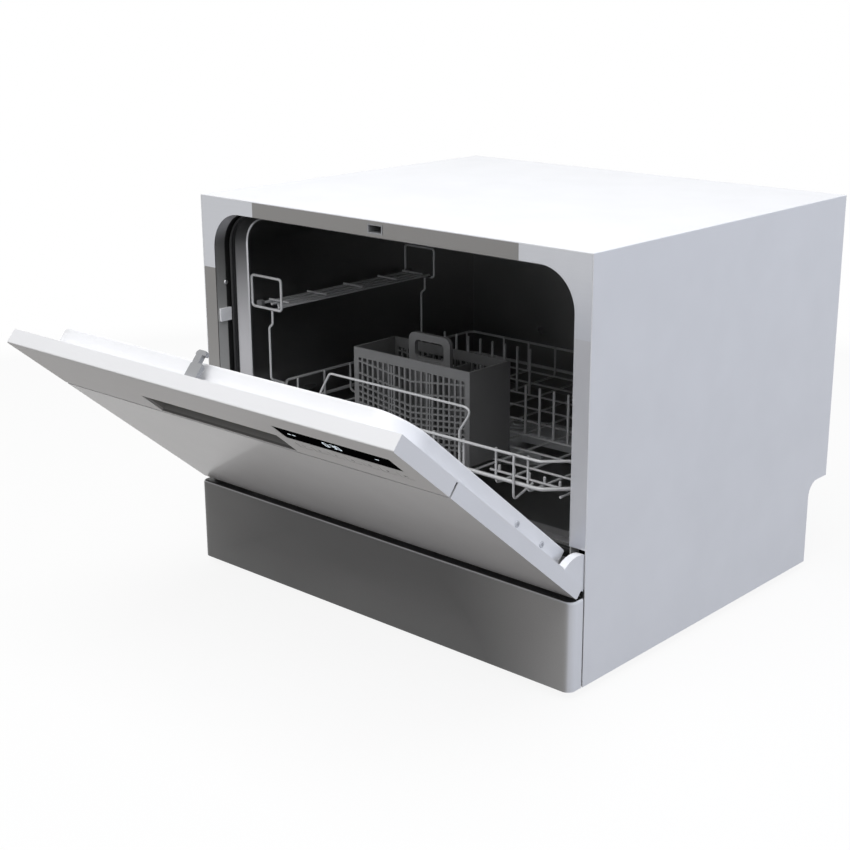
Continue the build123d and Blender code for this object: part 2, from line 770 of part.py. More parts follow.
def door_liner():
    """Inner side of the door: thin brim and a raised hollow panel."""
    brim = slab(-DOOR_X, DOOR_X, 0.5, DOOR_L, SHELL_T, SHELL_T + BRIM_T)
    wall = PLUG_WALL
    w0 = door_y(SHELL_T)
    back = door_y(PLUG_T)
    outer = along_y(arch(PLUG_X, door_z(PLUG_LOW), door_z(PLUG_HIGH), PLUG_R, 6), w0, back)
    outer = fillet(outer.edges().group_by(Axis.Y)[-1], PLUG_EDGE_R)
    low_z = door_z(PLUG_LOW + wall)
    high_z = door_z(PLUG_HIGH - wall)
    inner_view = arch(PLUG_X - wall, low_z, high_z, PLUG_R - wall, 6 - wall)
    inner = along_y(inner_view, w0 - 1, back - wall)
    inner = fillet(inner.edges().group_by(Axis.Y)[-1], PLUG_EDGE_R - wall)
    liner = brim + outer - inner
    press = along_y(arch(PLUG_X - 34, door_z(40), door_z(PLUG_HIGH - 26), 20, 12), back - 1.2, back + 1)
    rim = along_y(arch(PLUG_X - 38, door_z(44), door_z(PLUG_HIGH - 30), 16, 8), back - 2, back + 2)
    liner -= press - rim
    liner -= slab(DISP_X0, DISP_X1, DISP_U0, DISP_U1, 20, PLUG_T + 1)
    return liner - hinge_slots()


def dispenser_body():
    """Detergent and rinse-aid unit let into the inner side of the door."""
    gap = DISP_GAP
    rim = DISP_RIM
    face = PLUG_T
    proud = DISP_PROUD
    body = slab(DISP_X0 + gap, DISP_X1 - gap, DISP_U0 + gap, DISP_U1 - gap, DISP_BACK_W, face)
    plate = slab(DISP_X0 - rim, DISP_X1 + rim, DISP_U0 - rim, DISP_U1 + rim, face, face + proud)
    corners = plate.edges().filter_by(Axis.Y)
    plate = fillet(corners, 6)
    body += plate
    for x in (CUP_X0 - 1, CUP_X1 - 5):
        body += slab(x, x + 6, CUP_U0 - 9, CUP_U0 - 2.6, face + proud, face + proud + 4.4)
    body -= slab(CUP_X0, CUP_X1, CUP_U0, CUP_U1, CUP_FLOOR_W, face + 8)
    body -= peg(RINSE_X, RINSE_U, 24, face + 8, RINSE_R)
    body -= slab(BUTTON_X0 - gap, BUTTON_X1 + gap, BUTTON_U0 - gap, BUTTON_U1 + gap, 30, face + 8)
    start = (-100, door_y(LID_HINGE_W), door_z(LID_HINGE_U))
    end = (100, door_y(LID_HINGE_W), door_z(LID_HINGE_U))
    return body - rod(start, end, LID_PIN_R + PIN_GAP)


def dispenser_lid():
    """Flap over the detergent cup, with its hinge pin."""
    low = PLUG_T + 2.7
    flap = slab(CUP_X0 - 3, CUP_X1 + 3, CUP_U0 - 2, CUP_U1 + 3, low, low + 1.8)
    flap = fillet(flap.edges().filter_by(Axis.Y).group_by(Axis.Z)[-1], 5)
    flap += slab(CUP_X1 - 12, CUP_X1 + 3, CUP_U1 - 34, CUP_U1 - 20, low + 1.8, low + 3)
    x0, x1 = CUP_X0 + 5.6, CUP_X1 - 5.6
    flap += slab(x0, x1, LID_HINGE_U, CUP_U0 - 1.9, low + 0.1, low + 1.8)
    start = (CUP_X0 - 1, door_y(LID_HINGE_W), door_z(LID_HINGE_U))
    end = (CUP_X1 + 1, door_y(LID_HINGE_W), door_z(LID_HINGE_U))
    knuckle = rod((x0, *start[1:]), (x1, *start[1:]), 2.0)
    return flap + knuckle + rod(start, end, LID_PIN_R)


def dispenser_button():
    """Release button of the detergent lid."""
    button = slab(BUTTON_X0, BUTTON_X1, BUTTON_U0, BUTTON_U1, 34, PLUG_T + 5.4)
    return chamfer(button.edges().group_by(Axis.Y)[-1], 1.0)


def rinse_cap():
    """Screw cap of the rinse-aid tank with a grip bar."""
    top = PLUG_T + 3.8
    cap = peg(RINSE_X, RINSE_U, 30, PLUG_T + 2.7, RINSE_R - 0.3)
    cap += peg(RINSE_X, RINSE_U, PLUG_T + 2.7, top, RINSE_R + 2)
    return cap + slab(RINSE_X - 11, RINSE_X + 11, RINSE_U - 2, RINSE_U + 2, top, top + 3.4)


def latch_striker():
    """Hooked tongue at the top of the door."""
    w0 = SHELL_T + BRIM_T
    u0, u1 = LATCH_Z0 + 0.8 - DOOR_Z, LATCH_Z1 - 2.1 - DOOR_Z
    base = slab(-8, 8, u0, u1, w0, NECK_W0)
    base = chamfer(base.edges().filter_by(Axis.Z).group_by(Axis.Y)[-1], 2)
    neck = slab(-7, 1.6, u0, u1, NECK_W0, NECK_W1)
    head = slab(-8, 5.4, u0, u1, NECK_W1, HEAD_W1)
    head = chamfer(head.edges().filter_by(Axis.Z).group_by(Axis.Y)[-1], 2.4)
    return base + neck + head


def door_screws():
    """Countersunk-look screws on both flanks of the raised panel."""
    heads = []
    for u in DOOR_SCREW_U:
        y, z = door_y(DOOR_SCREW_W), door_z(u)
        head = rod((PLUG_X, y, z), (PLUG_X + 1.0, y, z), DOOR_SCREW_R)
        head -= block(PLUG_X + 0.5, PLUG_X + 2, y - 2.4, y + 2.4, z - 0.4, z + 0.4)
        head -= block(PLUG_X + 0.5, PLUG_X + 2, y - 0.4, y + 0.4, z - 2.4, z + 2.4)
        heads += [head, mirror_x(head)]
    return heads


# ------------------------------------------------------- water and machinery
def sump():
    """Round well under the tub floor."""
    top = TUB_FLOOR - SHEET
    base = (0, TUB_MID_Y)
    cup = rod((*base, SUMP_BOTTOM), (*base, top), SUMP_R)
    cup += rod((*base, top - 2), (*base, top), SUMP_R + 9)
    cup -= rod((*base, SUMP_BOTTOM + 2), (*base, top + 1), SUMP_R - 2)
    ledge = tube((*base, MESH_Z - 3), (*base, MESH_Z), SUMP_R - 1, SUMP_R - 6)
    return cup + ledge


def fine_mesh():
    """Flat strainer over the well, with holes for the hub and the filter."""
    base = (0, TUB_MID_Y)
    disc = rod((*base, MESH_Z), (*base, MESH_Z + 1), SUMP_R - MESH_GAP)
    disc -= rod((*base, MESH_Z - 2), (*base, MESH_Z + 2), HUB_R + 0.4)
    place = (FILTER_X, FILTER_Y)
    disc -= rod((*place, MESH_Z - 2), (*place, MESH_Z + 2), FILTER_R + 1)
    return disc


def spray_hub():
    """Standing pipe that feeds and carries the spray arm."""
    base = (0, TUB_MID_Y)
    pipe = rod((*base, SUMP_BOTTOM + 2), (*base, HUB_TOP), HUB_R)
    pipe += rod((*base, HUB_TOP), (*base, ARM_Z1 + 2), HUB_PIN_R)
    return pipe - rod((*base, SUMP_BOTTOM + 6), (*base, ARM_Z1 + 3), 4.5)


def spray_arm():
    """Two-bladed rotor with a row of jets on each blade."""
    half = ARM_HALF
    tip = ARM_TIP
    z0, z1 = ARM_Z0, ARM_Z1
    base = (0, TUB_MID_Y)
    with BuildSketch() as plan:
        with Locations((0, TUB_MID_Y)):
            Circle(26)
        with BuildLine():
            Polyline(
                (-ARM_R, TUB_MID_Y - tip + 2),
                (0, TUB_MID_Y - half),
                (ARM_R, TUB_MID_Y - tip - 2),
                (ARM_R, TUB_MID_Y + tip - 2),
                (0, TUB_MID_Y + half),
                (-ARM_R, TUB_MID_Y + tip + 2),
                close=True,
            )
        make_face()
    arm = extrude(plan.sketch, amount=z1 - z0 - 1)
    arm = Pos(0, 0, z0) * arm
    arm = fillet(arm.edges().group_by(Axis.Z)[-1], 3)
    arm += rod((*base, z1 - 2), (*base, z1), 16)
    for side in (-1, 1):
        for n, reach in enumerate(JET_REACH):
            y = TUB_MID_Y + (3 if n % 2 else -3)
            arm -= rod((side * reach, y, z1 - 3), (side * reach, y, z1 + 1), JET_R)
    return arm - rod((*base, z0 - 1), (*base, z1 + 1), HUB_PIN_R + 0.06)


def filter_cup():
    """Cylindrical strainer with a collar and a grip bar."""
    place = (FILTER_X, FILTER_Y)
    cup = tube((*place, SUMP_BOTTOM + 3), (*place, MESH_Z + 1), FILTER_R, FILTER_R - 1.5)
    cup += rod((*place, MESH_Z + 1), (*place, MESH_Z + 3), FILTER_R + 5)
    cup += rod((*place, SUMP_BOTTOM + 3), (*place, SUMP_BOTTOM + 5), FILTER_R)
    bar = block(FILTER_X - 22, FILTER_X + 22, FILTER_Y - 3, FILTER_Y + 3, MESH_Z + 3, MESH_Z + 15)
    bar = fillet(bar.edges().filter_by(Axis.Y).group_by(Axis.Z)[-1], 5)
    return cup + bar


def softener_tank():
    """Water softener under the tub with its filling neck."""
    place = (SALT_X, SALT_Y)
    tank = block(SALT_X - 57, SALT_X + 55, SALT_Y - 52, SALT_Y + 53, TRAY_T, TANK_TOP)
    tank = fillet(tank.edges().filter_by(Axis.Z), 8)
    tank += rod((*place, TANK_TOP), (*place, TUB_FLOOR - SHEET), SALT_R + 6)
    return tank - rod((*place, 60), (*place, TUB_FLOOR), SALT_R)


def salt_cap():
    """Screw cap of the softener's neck."""
    place = (SALT_X, SALT_Y)
    cap = rod((*place, 126), (*place, TUB_FLOOR + 0.2), SALT_R - 0.3)
    cap += rod((*place, TUB_FLOOR + 0.2), (*place, TUB_FLOOR + 3.6), SALT_R + 4)
    bar = block(SALT_X - 20, SALT_X + 20, SALT_Y - 3, SALT_Y + 3, TUB_FLOOR + 3.6, TUB_FLOOR + 6.6)
    return cap + bar


def wash_pump():
    """Circulation pump: motor, ribbed end, volute and inlet elbow."""
    y, z = WASH_Y, WASH_Z
    pump = rod((-75, y, z), (35, y, z), WASH_MOTOR_R)
    for n in range(RIB_COUNT):
        x = -68 + n * RIB_PITCH
        pump += rod((x, y, z), (x + 3, y, z), WASH_MOTOR_R + 2)
    pump += rod((35, y, z), (70, y, z), WASH_VOLUTE_R)
    elbow = (WASH_PIPE_X, WASH_PIPE_Y)
    pump += rod((*elbow, 60), (WASH_PIPE_X, y, 60), WASH_PIPE_R)
    pump += rod((*elbow, 60), (*elbow, SUMP_BOTTOM), WASH_PIPE_R)
    return pump + block(-60, 20, y - 20, y + 20, TRAY_T, z - 30)


def drain_pump():
    """Small pump that empties the well."""
    y, z = DRAIN_PUMP_Y, DRAIN_PUMP_Z
    pump = rod((60, y, z), (98, y, z), 26)
    pump += rod((98, y, z), (140, y, z), 21)
    pump += rod((76, y + 8, z), (76, y + 8, SUMP_BOTTOM), 9)
    return pump + block(70, 130, y - 14, y + 14, TRAY_T, 14)


def flow_heater():
    """Tubular heater with pipe ends and two terminals."""
    y, z = HEATER_Y, HEATER_Z
    heater = rod((HEATER_X0, y, z), (HEATER_X1, y, z), HEATER_R)
    heater += rod((HEATER_X0 - 16, y, z), (HEATER_X1 + 16, y, z), 11)
    for x in (HEATER_X0 + 30, HEATER_X1 - 30):
        heater += block(x - 5, x + 5, y - 2, y + 2, z + HEATER_R - 1, z + HEATER_R + 13)
    return heater + block(HEATER_X0 + 20, HEATER_X1 - 20, y - 16, y + 16, TRAY_T, z - 16)


def power_board_box():
    """Closed box of the power electronics."""
    box = block(BOX_X0, BOX_X1, BOX_Y0, BOX_Y1, TRAY_T, BOX_TOP)
    box = fillet(box.edges().filter_by(Axis.Z), 5)
    lid = block(BOX_X0 - 3, BOX_X1 + 3, BOX_Y0 - 3, BOX_Y1 + 3, BOX_TOP, BOX_TOP + 6)
    return box + lid


def water_breather():
    """Flat water guide tank between the tub and the left side panel."""
    tank = block(BREATHER_X0, BREATHER_X1, 84, 420, 150, 392)
    tank = fillet(tank.edges().filter_by(Axis.X), 14)
    for y in (150, 220, 290, 360):
        tank -= block(BREATHER_X0 - 1, BREATHER_X0 + 3, y - 3, y + 3, 180, 362)
    return tank + rod((-260, 120, 110), (-260, 120, 160), 9)


def inlet_valve():
    """Fill valve with its hose spigot through the rear wall."""
    wall = CAB_D - NOTCH_D
    z = FITTING_Z
    left, right = INLET_X - VALVE_HALF, INLET_X + VALVE_HALF
    valve = block(left, right, wall - 58, wall - 3, z - 22, z + 24)
    valve = fillet(valve.edges().filter_by(Axis.Y), 4)
    valve += rod((INLET_X, wall - 4, z), (INLET_X, wall + 1, z), INLET_R + SHOULDER)
    valve += rod((INLET_X, wall, z), (INLET_X, wall + 2, z), INLET_R - ROOT)
    valve += rod((INLET_X, wall + 2, z), (INLET_X, wall + 2 + INLET_L, z), INLET_R)
    valve -= rod((INLET_X, wall - 2, z), (INLET_X, wall + 3 + INLET_L, z), INLET_R - 4)
    valve += rod((INLET_X, wall - 30, z + 20), (INLET_X, wall - 30, z + 52), 13)
    return valve + block(left, right, wall - 20, wall - 16, TRAY_T, z - 22)


def drain_outlet():
    """Barbed outlet for the drain hose."""
    wall = CAB_D - NOTCH_D
    z = FITTING_Z
    inner_end = wall - 40
    spout = rod((DRAIN_X, inner_end, z), (DRAIN_X, wall - 5, z), DRAIN_R)
    spout += rod((DRAIN_X, wall - 5, z), (DRAIN_X, wall - SHEET, z), DRAIN_R + 5)
    spout += rod((DRAIN_X, wall - SHEET, z), (DRAIN_X, wall + 1, z), DRAIN_R + SHOULDER)
    spout += rod((DRAIN_X, wall + 1, z), (DRAIN_X, wall + 2, z), DRAIN_R - ROOT)
    spout += rod((DRAIN_X, wall + 2, z), (DRAIN_X, wall + 2 + DRAIN_L, z), DRAIN_R)
    return spout - rod((DRAIN_X, inner_end - 1, z), (DRAIN_X, wall + 3 + DRAIN_L, z), DRAIN_R - 2)


def mains_gland():
    """Bush in the rear wall for the supply lead."""
    wall = CAB_D - NOTCH_D
    z = FITTING_Z
    bush = rod((GLAND_X, wall - 9, z), (GLAND_X, wall + 12, z), GLAND_R)
    bush += rod((GLAND_X, wall - 4, z), (GLAND_X, wall - SHEET, z), GLAND_FLANGE_R)
    bush += rod((GLAND_X, wall, z), (GLAND_X, wall + 3, z), GLAND_FLANGE_R)
    return bush - rod((GLAND_X, wall - 10, z), (GLAND_X, wall + 13, z), GLAND_BORE_R)


def cabinet_screws():
    """Pan-head screws of the back panel and of the recess."""
    heads = []
    for x in REAR_SCREW_X:
        for z in (NOTCH_H + 16, CAB_H - 14):
            heads.append(rod((x, CAB_D, z), (x, CAB_D + SCREW_T, z), SCREW_R))
    for side in (-1, 1):
        near, far = sorted((side * OPEN_X, side * (OPEN_X - RECESS_SCREW_T)))
        heads.append(rod((near, *RECESS_SCREW), (far, *RECESS_SCREW), RECESS_SCREW_R))
    return heads


# -------------------------------------------------------------------- racks
def rail(half, y0, y1, cut, z, radius):
    """Closed rail with its two front corners cut off at 45 degrees."""
    plan = [
        (-half + cut, y0, z),
        (half - cut, y0, z),
        (half, y0 + cut, z),
        (half, y1, z),
        (-half, y1, z),
        (-half, y0 + cut, z),
    ]
    return wire(plan, radius, closed=True)


def rack_frame():
    """Welded wire drawer: two rails, cross wires, long wires and guard."""
    parts = rail(RAIL_X, RAIL_Y0, RAIL_Y1, RAIL_CUT, RAIL_LOW_Z, RAIL_LOW_R)
    step = RAIL_LOW_R - RAIL_TOP_R
    parts += rail(RAIL_X - step, RAIL_Y0 + step, RAIL_Y1 - step, RAIL_CUT, RAIL_TOP_Z, RAIL_TOP_R)
    reach = RAIL_X - RAIL_LOW_R - WIRE_R
    top = RAIL_TOP_Z + RAIL_TOP_R
    for n in range(CROSS_COUNT):
        y = CROSS_Y + n * CROSS_PITCH
        parts += wire([(-reach, y, top), (-reach, y, CROSS_Z), (reach, y, CROSS_Z), (reach, y, top)], WIRE_R)
    near = RAIL_Y0 + RAIL_LOW_R + WIRE_R
    far = RAIL_Y1 - RAIL_LOW_R - WIRE_R
    low = CROSS_Z - 2 * WIRE_R
    for x in LONG_X:
        parts += wire([(x, near, top), (x, near, low), (x, far, low), (x, far, top)], WIRE_R)
    for x in (-GLIDE_X, GLIDE_X):
        parts.append(rod((x, 50, low), (x, far + 1, low), WIRE_R))
    for side in (-1, 1):
        start = (side * FRONT_BAR_X0, TINE_ROWS[0], CROSS_Z)
        end = (side * FRONT_BAR_X1, TINE_ROWS[0], CROSS_Z)
        parts.append(rod(start, end, WIRE_R))
    front = RAIL_Y0 - RAIL_LOW_R - WIRE_R
    for x in (-HOOK_X, HOOK_X):
        hook = [(front, top), (front, HOOK_LOW_Z), (TINE_ROWS[0], CROSS_Z - 2 * WIRE_R)]
        parts += wire([(x, y, z) for y, z in hook], WIRE_R)
    parts += wire([(x, near, z) for x, z in GUARD], WIRE_R)
    return parts


def plate_tines():
    """Upright wires that hold the plates on edge."""
    pins = []
    for row, y in enumerate(TINE_ROWS):
        first = TINE_FIRST[row]
        low = CROSS_Z - WIRE_R + 0.1
        high = STUB_TOP if row == 0 else TINE_TOP
        beside = y + WIRE_R + TINE_R
        for side in (-1, 1):
            for n in range(int((TINE_LAST - first) / TINE_PITCH) + 1):
                x = side * (first + n * TINE_PITCH)
                pin = rod((x, beside, low), (x, beside, high), TINE_R)
                pins.append(pin + Pos(x, beside, high) * Sphere(TINE_R))
    return pins


def rack_glides():
    """Four plastic feet that slide on the tub floor."""
    glides = []
    top = CROSS_Z - 3 * WIRE_R
    for x in (-GLIDE_X, GLIDE_X):
        for y in GLIDE_Y:
            foot = block(x - 6, x + 6, y - 10, y + 10, TUB_FLOOR + 0.2, top)
            glides.append(fillet(foot.edges().filter_by(Axis.X).group_by(Axis.Z)[0], 4))
    return glides


def basket_wall():
    """Front view of a long basket wall: frame, bars and V-shaped ribs."""
    x = BASKET_X - BASKET_POST
    low, high = BASKET_Z0 + 5, BASKET_Z1 - BASKET_BAND
    frame = Pos(0, (BASKET_Z0 + BASKET_Z1) / 2) * Rectangle(2 * BASKET_X, BASKET_Z1 - BASKET_Z0)
    wall = frame - Pos(0, (low + high) / 2) * Rectangle(2 * x, high - low)
    count = int(x / BAR_PITCH)
    middle = (low + high) / 2
    bars = [Pos(n * BAR_PITCH, middle) * Rectangle(BAR_W, high - low) for n in range(-count, count + 1)]
    ribs = []
    for z in RIB_HEIGHTS:
        dip = z - RIB_DROP
        line = [(-x, z), (0, dip), (x, z), (x, z + RIB_T), (0, dip + RIB_T), (-x, z + RIB_T)]
        ribs.append(Polygon(*line, align=None))
    return wall + bars + ribs


def basket_floor():
    """Plan of the basket floor with its drain slots."""
    depth = BASKET_Y1 - BASKET_Y0
    slots = Sketch() + [place * Rectangle(8, 10) for place in GridLocations(12, 16, 13, 4)]
    return Rectangle(2 * BASKET_X, depth) - slots


def cutlery_basket():
    """Open basket for cutlery with ribbed walls, dividers and a grip."""
    t = BASKET_WALL
    y0, y1 = BASKET_Y0, BASKET_Y1
    z0, z1 = BASKET_Z0, BASKET_Z1
    middle = (y0 + y1) / 2
    view = basket_wall()
    pieces = [along_y(view, y1 - t, y1)]
    pieces.append(Pos(0, middle, z0) * extrude(basket_floor(), amount=t))
    for x in (-BASKET_X, BASKET_X - t):
        pieces.append(block(x, x + t, y0, y1, z0, z1))
    for x in (-BASKET_SPLIT_X, BASKET_SPLIT_X):
        pieces.append(block(x - 1, x + 1, y0, y1, z0, z1 - 12))
    pieces.append(block(-BASKET_X, BASKET_X, middle - 1, middle + 1, z0, z1 - 16))
    grip = block(-GRIP_X, GRIP_X, middle - 2.5, middle + 2.5, z1 - 17, z1 + GRIP_H)
    grip = fillet(grip.edges().filter_by(Axis.Y).group_by(Axis.Z)[-1], 9)
    hole = block(-GRIP_X + 9, GRIP_X - 9, middle - 4, middle + 4, z1 - 6, z1 + GRIP_H - 8)
    pieces.append(grip - fillet(hole.edges().filter_by(Axis.Y), 5))
    return along_y(view, y0, y0 + t) + pieces


def cup_shelf_frame():
    """Two end loops with legs to the rack, and the clips of the shelf."""
    parts = []
    radius = WIRE_R + 0.2
    low = SHELF_Z - 2 * radius - 0.1
    for y, foot_y in ((SHELF_Y0, LEG_FOOT_Y), (SHELF_Y1, SHELF_Y1)):
        corners = [(SHELF_X0, low), (SHELF_X1, low), (SHELF_X1, SHELF_LOOP_TOP), (SHELF_X0, SHELF_LOOP_TOP)]
        parts += wire([(x, y, z) for x, z in corners], radius, closed=True)
        top = low - radius
        joggle = [(LEG_X + 6, y, 282), (LEG_X, y, 278)]
        bends = [(LEG_X + 6, y, top)] + joggle + [(LEG_X, y, 216), (LEG_X, foot_y, 207)]
        parts += wire(bends, WIRE_R)
        inside = y + radius if y == SHELF_Y0 else y - radius - CLIP_L
        clip = block(SHELF_HINGE_X - 4, SHELF_HINGE_X + 4, inside, inside + CLIP_L, SHELF_Z - 4, SHELF_Z + 4)
        start = (SHELF_HINGE_X, inside - 1, SHELF_Z)
        hole = rod(start, (SHELF_HINGE_X, inside + CLIP_L + 1, SHELF_Z), radius + 0.06)
        parts.append(clip - hole)
        rest_z = SHELF_Z - radius - 0.05
        parts.append(block(SHELF_TIP_X - 7, SHELF_TIP_X + 3, inside, inside + CLIP_L, rest_z - 1.6, rest_z))
    parts.append(rod((LEG_X, SHELF_Y1, 207), (LEG_X - 13.4, SHELF_Y1, 207), WIRE_R))
    return parts


def cup_shelf():
    """Folding wire shelf for cups along the left wall."""
    radius = WIRE_R + 0.2
    y0, y1 = SHELF_Y0 + radius, SHELF_Y1 - radius
    parts = [rod((SHELF_HINGE_X, y0 + 0.3, SHELF_Z), (SHELF_HINGE_X, y1 - 0.3, SHELF_Z), radius)]
    for x in SHELF_ROWS_X:
        parts.append(rod((x, y0 + 8, SHELF_Z), (x, y1 - 8, SHELF_Z), radius))
    parts.append(rod((SHELF_TIP_X, y0 + 0.3, SHELF_Z), (SHELF_TIP_X, y1 - 0.3, SHELF_Z), radius))
    for y in SHELF_BARS_Y:
        z = SHELF_Z + radius + WIRE_R
        parts.append(rod((SHELF_HINGE_X, y, z), (SHELF_TIP_X, y, z), WIRE_R))
    return parts


# ------------------------------------------------------------------- output
def save(name, *shapes):
    """Move the pieces to the row origin and write one STEP file."""
    solids = []
    for shape in shapes:
        for item in shape if isinstance(shape, list) else [shape]:
            solids += item.solids()
    group = Compound(children=solids).moved(Location((0, -ORIGIN_Y, FOOT_H)))
    export_step(group, f"parts/{name}.step")
    return group.bounding_box()


def main():
    os.makedirs("parts", exist_ok=True)
    right_panel = side_panel()
    bracket = hinge_bracket()
    pin = hinge_pin()
    arm = hinge_arm()
    fixed = {
        "top_cover": [top_cover()],
        "side_panel_right": [right_panel],
        "side_panel_left": [mirror_x(right_panel)],
        "rear_panel": [rear_panel()],
        "base_tray": [base_tray()],
        "feet": feet(),
        "kick_plate": [kick_plate()],
        "tub_front_frame": [front_frame()],
        "tub_shell": [tub_shell()],
        "door_seal": [door_seal()],
        "lower_door_seal": [lower_door_seal()],
        "door_guide_blocks": guide_blocks(),
        "latch_catch": [latch_catch()],
        "latch_jaw": [latch_jaw()],
        "hinge_brackets": [bracket, mirror_x(bracket)],
        "hinge_pins": [pin, mirror_x(pin)],
        "sump": [sump()],
        "fine_mesh": [fine_mesh()],
        "spray_hub": [spray_hub()],
        "spray_arm": [spray_arm()],
        "filter_cup": [filter_cup()],
        "softener_tank": [softener_tank()],
        "salt_cap": [salt_cap()],
        "wash_pump": [wash_pump()],
        "drain_pump": [drain_pump()],
        "flow_heater": [flow_heater()],
        "power_board_box": [power_board_box()],
        "water_breather": [water_breather()],
        "inlet_valve": [inlet_valve()],
        "drain_outlet": [drain_outlet()],
        "mains_gland": [mains_gland()],
        "cabinet_screws": cabinet_screws(),
        "rack_frame": rack_frame(),
        "plate_tines": plate_tines(),
        "rack_glides": rack_glides(),
        "cutlery_basket": [cutlery_basket()],
        "cup_shelf_frame": cup_shelf_frame(),
        "cup_shelf": cup_shelf(),
    }
    door = {
        "door_lower_panel": [lower_panel()],
        "control_fascia": [control_fascia()],
        "handle_pocket": [handle_pocket()],
        "display_window": [display_window()],
        "display_digits": display_digits(),
        "control_board": [control_board()],
        "door_liner": [door_liner()],
        "dispenser_body": [dispenser_body()],
        "dispenser_lid": [dispenser_lid()],
        "dispenser_button": [dispenser_button()],
        "rinse_cap": [rinse_cap()],
        "latch_striker": [latch_striker()],
        "hinge_arms": [arm, mirror_x(arm)],
        "door_screws": door_screws(),
    }
    for name, x in zip(KEY_NAMES, key_centres()):
        door[f"key_{name}"] = [key(x)]
    for name, shapes in fixed.items():
        save(name, shapes)
    for name, shapes in door.items():
        save(name, [opened(shape) for shape in shapes])
    print(len(fixed) + len(door), "nodes")


main()
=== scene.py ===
# %% [markdown]
# # A countertop dishwasher with its door half open
#
# The machine is a white sheet-metal box, 550 mm wide. Its steel tub holds a wire drawer for plates,
# a cutlery basket and a small folding shelf for cups. The door swings down on two hinges.
#
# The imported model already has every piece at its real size. This script gives those pieces the
# finishes of the real machine, and builds again the ones that need a softer shape than the packed
# model has: bent and welded wires, rubber profiles, screws and printed marks.

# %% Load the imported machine
import math
import bmesh
import bpy
from mathutils import Matrix, Vector


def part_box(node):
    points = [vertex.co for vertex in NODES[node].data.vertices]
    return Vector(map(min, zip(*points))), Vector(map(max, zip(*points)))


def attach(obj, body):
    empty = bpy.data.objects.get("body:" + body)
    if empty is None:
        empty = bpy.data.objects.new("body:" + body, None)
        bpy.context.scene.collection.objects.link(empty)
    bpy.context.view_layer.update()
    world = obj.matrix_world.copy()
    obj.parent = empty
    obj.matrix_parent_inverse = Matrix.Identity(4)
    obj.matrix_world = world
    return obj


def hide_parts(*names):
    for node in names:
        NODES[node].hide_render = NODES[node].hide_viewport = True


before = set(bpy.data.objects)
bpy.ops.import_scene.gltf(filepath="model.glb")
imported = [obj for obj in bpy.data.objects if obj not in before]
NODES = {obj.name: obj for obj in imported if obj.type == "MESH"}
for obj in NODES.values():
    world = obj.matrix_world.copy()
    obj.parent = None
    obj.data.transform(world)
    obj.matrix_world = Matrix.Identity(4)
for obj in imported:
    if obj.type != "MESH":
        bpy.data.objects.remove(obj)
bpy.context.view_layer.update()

# %% [markdown]
# ## Places
#
# Drawings of such a machine give sizes in millimetres, from the front plane of the cabinet and from
# the lower edge of its side panels. The scene is in metres, from the middle of the whole machine and
# from the bottom of its feet, so `at` turns one into the other. Points of the closed door are given
# as x, up from the door's lower edge, and inwards from its front face. `door_at` swings them to where
# the door stands now.

# %% From machine millimetres to scene metres
MM = 0.001
FOOT_H = 8.0
CABINET_W = 550.0
CABINET_D = 476.0
CABINET_H = 430.0
DOOR_LOW = 103.0
DOOR_FRONT = -20.5
DOOR_ANGLE = math.radians(50)
HINGE = Vector((0, -9.7, 108.5))
MIDDLE_Y = (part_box("top_cover")[0].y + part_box("top_cover")[1].y) / 2 / MM - CABINET_D / 2


def at(x, y, z):
    """A point of the cabinet, from millimetres to scene metres."""
    return Vector((x, y + MIDDLE_Y, z + FOOT_H)) * MM


def door_at(x, up, inward):
    """A point of the door as it stands now, half open."""
    closed = Vector((x, DOOR_FRONT + inward, DOOR_LOW + up))
    turn = Matrix.Rotation(DOOR_ANGLE, 3, "X")
    return at(*(HINGE + turn @ (closed - HINGE)))


print("front plane at y =", round(at(0, 0, 0).y, 4), "m")

# %% [markdown]
# ## Small helpers for finishes
#
# Each finish is a Principled shader with its colour, gloss and relief driven by noise in the
# machine's own coordinates, so that a grain keeps its real size on every piece. A stretched noise
# gives brushed metal, a fine even one gives moulded plastic or paint.


# %% Build a finish from noise
def new_finish(name, roughness=0.5, metallic=0.0, **sockets):
    """An empty material with one Principled shader."""
    finish = bpy.data.materials.new(name)
    finish.use_nodes = True
    shader = finish.node_tree.nodes["Principled BSDF"]
    shader.inputs["Roughness"].default_value = roughness
    shader.inputs["Metallic"].default_value = metallic
    for socket, value in sockets.items():
        shader.inputs[socket.replace("_", " ")].default_value = value
    return finish, finish.node_tree, shader


def grain(tree, size_mm, stretch=(1, 1, 1), detail=2.0):
    """Noise whose blotches are about size_mm across, longer along a stretched axis."""
    coords = tree.nodes.new("ShaderNodeTexCoord")
    mapping = tree.nodes.new("ShaderNodeMapping")
    mapping.inputs["Scale"].default_value = [1 / s for s in stretch]
    noise = tree.nodes.new("ShaderNodeTexNoise")
    noise.inputs["Scale"].default_value = 1 / (size_mm * MM)
    noise.inputs["Detail"].default_value = detail
    tree.links.new(coords.outputs["Object"], mapping.inputs["Vector"])
    tree.links.new(mapping.outputs["Vector"], noise.inputs["Vector"])
    return noise.outputs["Fac"]


def tint(tree, factor, low, high, socket, edge=(0.3, 0.7)):
    """Drives a colour socket between two colours."""
    ramp = tree.nodes.new("ShaderNodeValToRGB")
    for stop, place, colour in zip(ramp.color_ramp.elements, edge, (low, high)):
        stop.position = place
        stop.color = (*colour, 1)
    tree.links.new(factor, ramp.inputs["Fac"])
    tree.links.new(ramp.outputs["Color"], socket)
    return ramp


